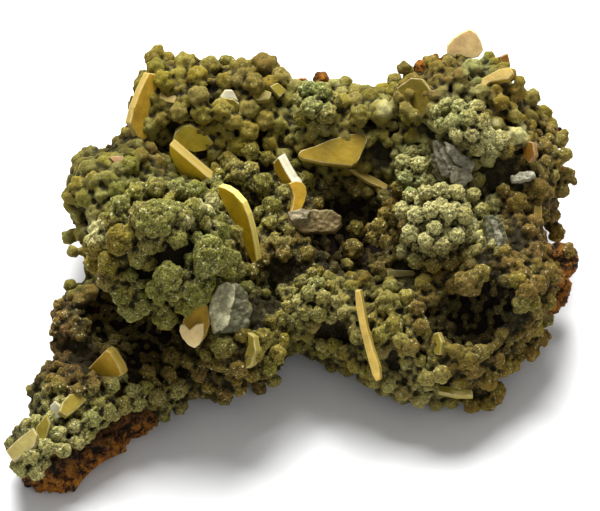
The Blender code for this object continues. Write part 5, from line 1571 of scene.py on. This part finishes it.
class SPECIMEN_OT_calcite(bpy.types.Operator):
    """Calcite: a cloudy grey lump and a brown prism, and thin pale blades"""

    bl_idname = "specimen.calcite"
    bl_label = "Calcite Crystals"

    def execute(self, context):
        face = Face()
        for node, blades in CALCITES.items():
            for i, (place, normal, thickness, finish, outline) in enumerate(blades):
                piece = slab(f"{node}_crystal_{i + 1}", place, normal, thickness, outline, face)
                modified(piece, "REMESH", mode="VOXEL", voxel_size=coarse(sizes().calcite_grain))
                modified(piece, "SMOOTH", factor=0.5, iterations=10)
                roughened(piece, CALCITE_ROUGHNESS)
                dressed(piece, node, kept(f"cloudy_calcite_{finish}", calcite_finish))
        return {"FINISHED"}


class SPECIMEN_OT_wulfenite(bpy.types.Operator):
    """Wulfenite: thin honey tablets that stand in the crust"""

    bl_idname = "specimen.wulfenite"
    bl_label = "Wulfenite Tablets"

    def execute(self, context):
        face = Face()
        for node, plates in TABLETS.items():
            for i, shape in enumerate(plates):
                piece = plate(f"{node}_crystal" + "_inner" * i, shape, face)
                finish = kept(f"glassy_wulfenite_{shape[3]}", wulfenite_finish)
                dressed(piece, node, finish, smooth=False)
        return {"FINISHED"}


class SPECIMEN_OT_stage(bpy.types.Operator):
    """Stage: a pale floor, soft studio light from behind on the left, and the camera"""

    bl_idname = "specimen.stage"
    bl_label = "Stage"

    def execute(self, context):
        scene = context.scene
        bpy.ops.object.select_all(action="DESELECT")
        bpy.ops.mesh.primitive_plane_add(size=FLOOR_SIZE, location=(0, 0, -FLOOR_SINK * MM))
        floor = context.object
        floor.name = "floor"
        finish = Finish("floor")
        finish.set(base_color=tuple(colours().floor), roughness=0.9)
        floor.data.materials.append(finish.material)

        scene.view_settings.view_transform = "Standard"
        middle = Vector(LIT_POINT) * MM
        for name, way, distance, size, power in LAMPS:
            place = middle + Vector(way).normalized() * distance
            bpy.ops.object.light_add(type="AREA", location=place)
            light = context.object
            light.name = name
            light.data.shape = "DISK"
            light.data.size = size
            light.data.energy = power
            light.rotation_mode = "QUATERNION"
            light.rotation_quaternion = (middle - place).to_track_quat("-Z", "Y")

        world = bpy.data.worlds.new("studio")
        scene.world = world
        world.use_nodes = True
        nodes, links = world.node_tree.nodes, world.node_tree.links
        sky = nodes["Background"]
        sky.inputs["Color"].default_value = (1.0, 1.0, 1.0, 1.0)
        ray = nodes.new("ShaderNodeLightPath")
        strength = nodes.new("ShaderNodeMapRange")
        strength.inputs["To Min"].default_value = SKY_LIGHT
        strength.inputs["To Max"].default_value = SKY_SEEN
        links.new(ray.outputs["Is Camera Ray"], strength.inputs["Value"])
        links.new(strength.outputs["Result"], sky.inputs["Strength"])

        target = UP * CAMERA_UP * MM
        bpy.ops.object.camera_add(location=target + OUT * CAMERA_REACH)
        camera = context.object
        camera.rotation_mode = "QUATERNION"
        camera.rotation_quaternion = (-OUT).to_track_quat("-Z", "Y")
        camera.data.sensor_width = SENSOR_WIDTH
        camera.data.lens = SENSOR_WIDTH * CAMERA_REACH / CAMERA_WIDTH
        camera.data.clip_start = 0.01
        scene.camera = camera
        return {"FINISHED"}


class SPECIMEN_PT_panel(bpy.types.Panel):
    """Lists the steps that make the specimen"""

    bl_idname = "SPECIMEN_PT_panel"
    bl_label = "Specimen"
    bl_space_type = "VIEW_3D"
    bl_region_type = "UI"
    bl_category = "Specimen"

    def draw(self, context):
        for operator in OPERATORS:
            self.layout.operator(operator.bl_idname)
        for group in (sizes(), colours()):
            box = self.layout.box()
            for name in group.__annotations__:
                box.prop(group, name)


OPERATORS = (
    SPECIMEN_OT_stage,
    SPECIMEN_OT_matrix,
    SPECIMEN_OT_coat,
    SPECIMEN_OT_crust,
    SPECIMEN_OT_hollows,
    SPECIMEN_OT_knobs,
    SPECIMEN_OT_calcite,
    SPECIMEN_OT_wulfenite,
)
CLASSES = (SpecimenSizes, SpecimenColours, *OPERATORS, SPECIMEN_PT_panel)


def register():
    for cls in CLASSES:
        bpy.utils.register_class(cls)
    bpy.types.Scene.specimen_sizes = PointerProperty(type=SpecimenSizes)
    bpy.types.Scene.specimen_colours = PointerProperty(type=SpecimenColours)


def unregister():
    del bpy.types.Scene.specimen_colours
    del bpy.types.Scene.specimen_sizes
    for cls in reversed(CLASSES):
        bpy.utils.unregister_class(cls)


def main():
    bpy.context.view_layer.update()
    register()
    bpy.ops.specimen.stage()
    bpy.ops.specimen.matrix()
    bpy.ops.specimen.coat()
    bpy.ops.specimen.crust()
    bpy.ops.specimen.hollows()
    bpy.ops.specimen.knobs()
    bpy.ops.specimen.calcite()
    bpy.ops.specimen.wulfenite()


if __name__ == "__main__":
    main()
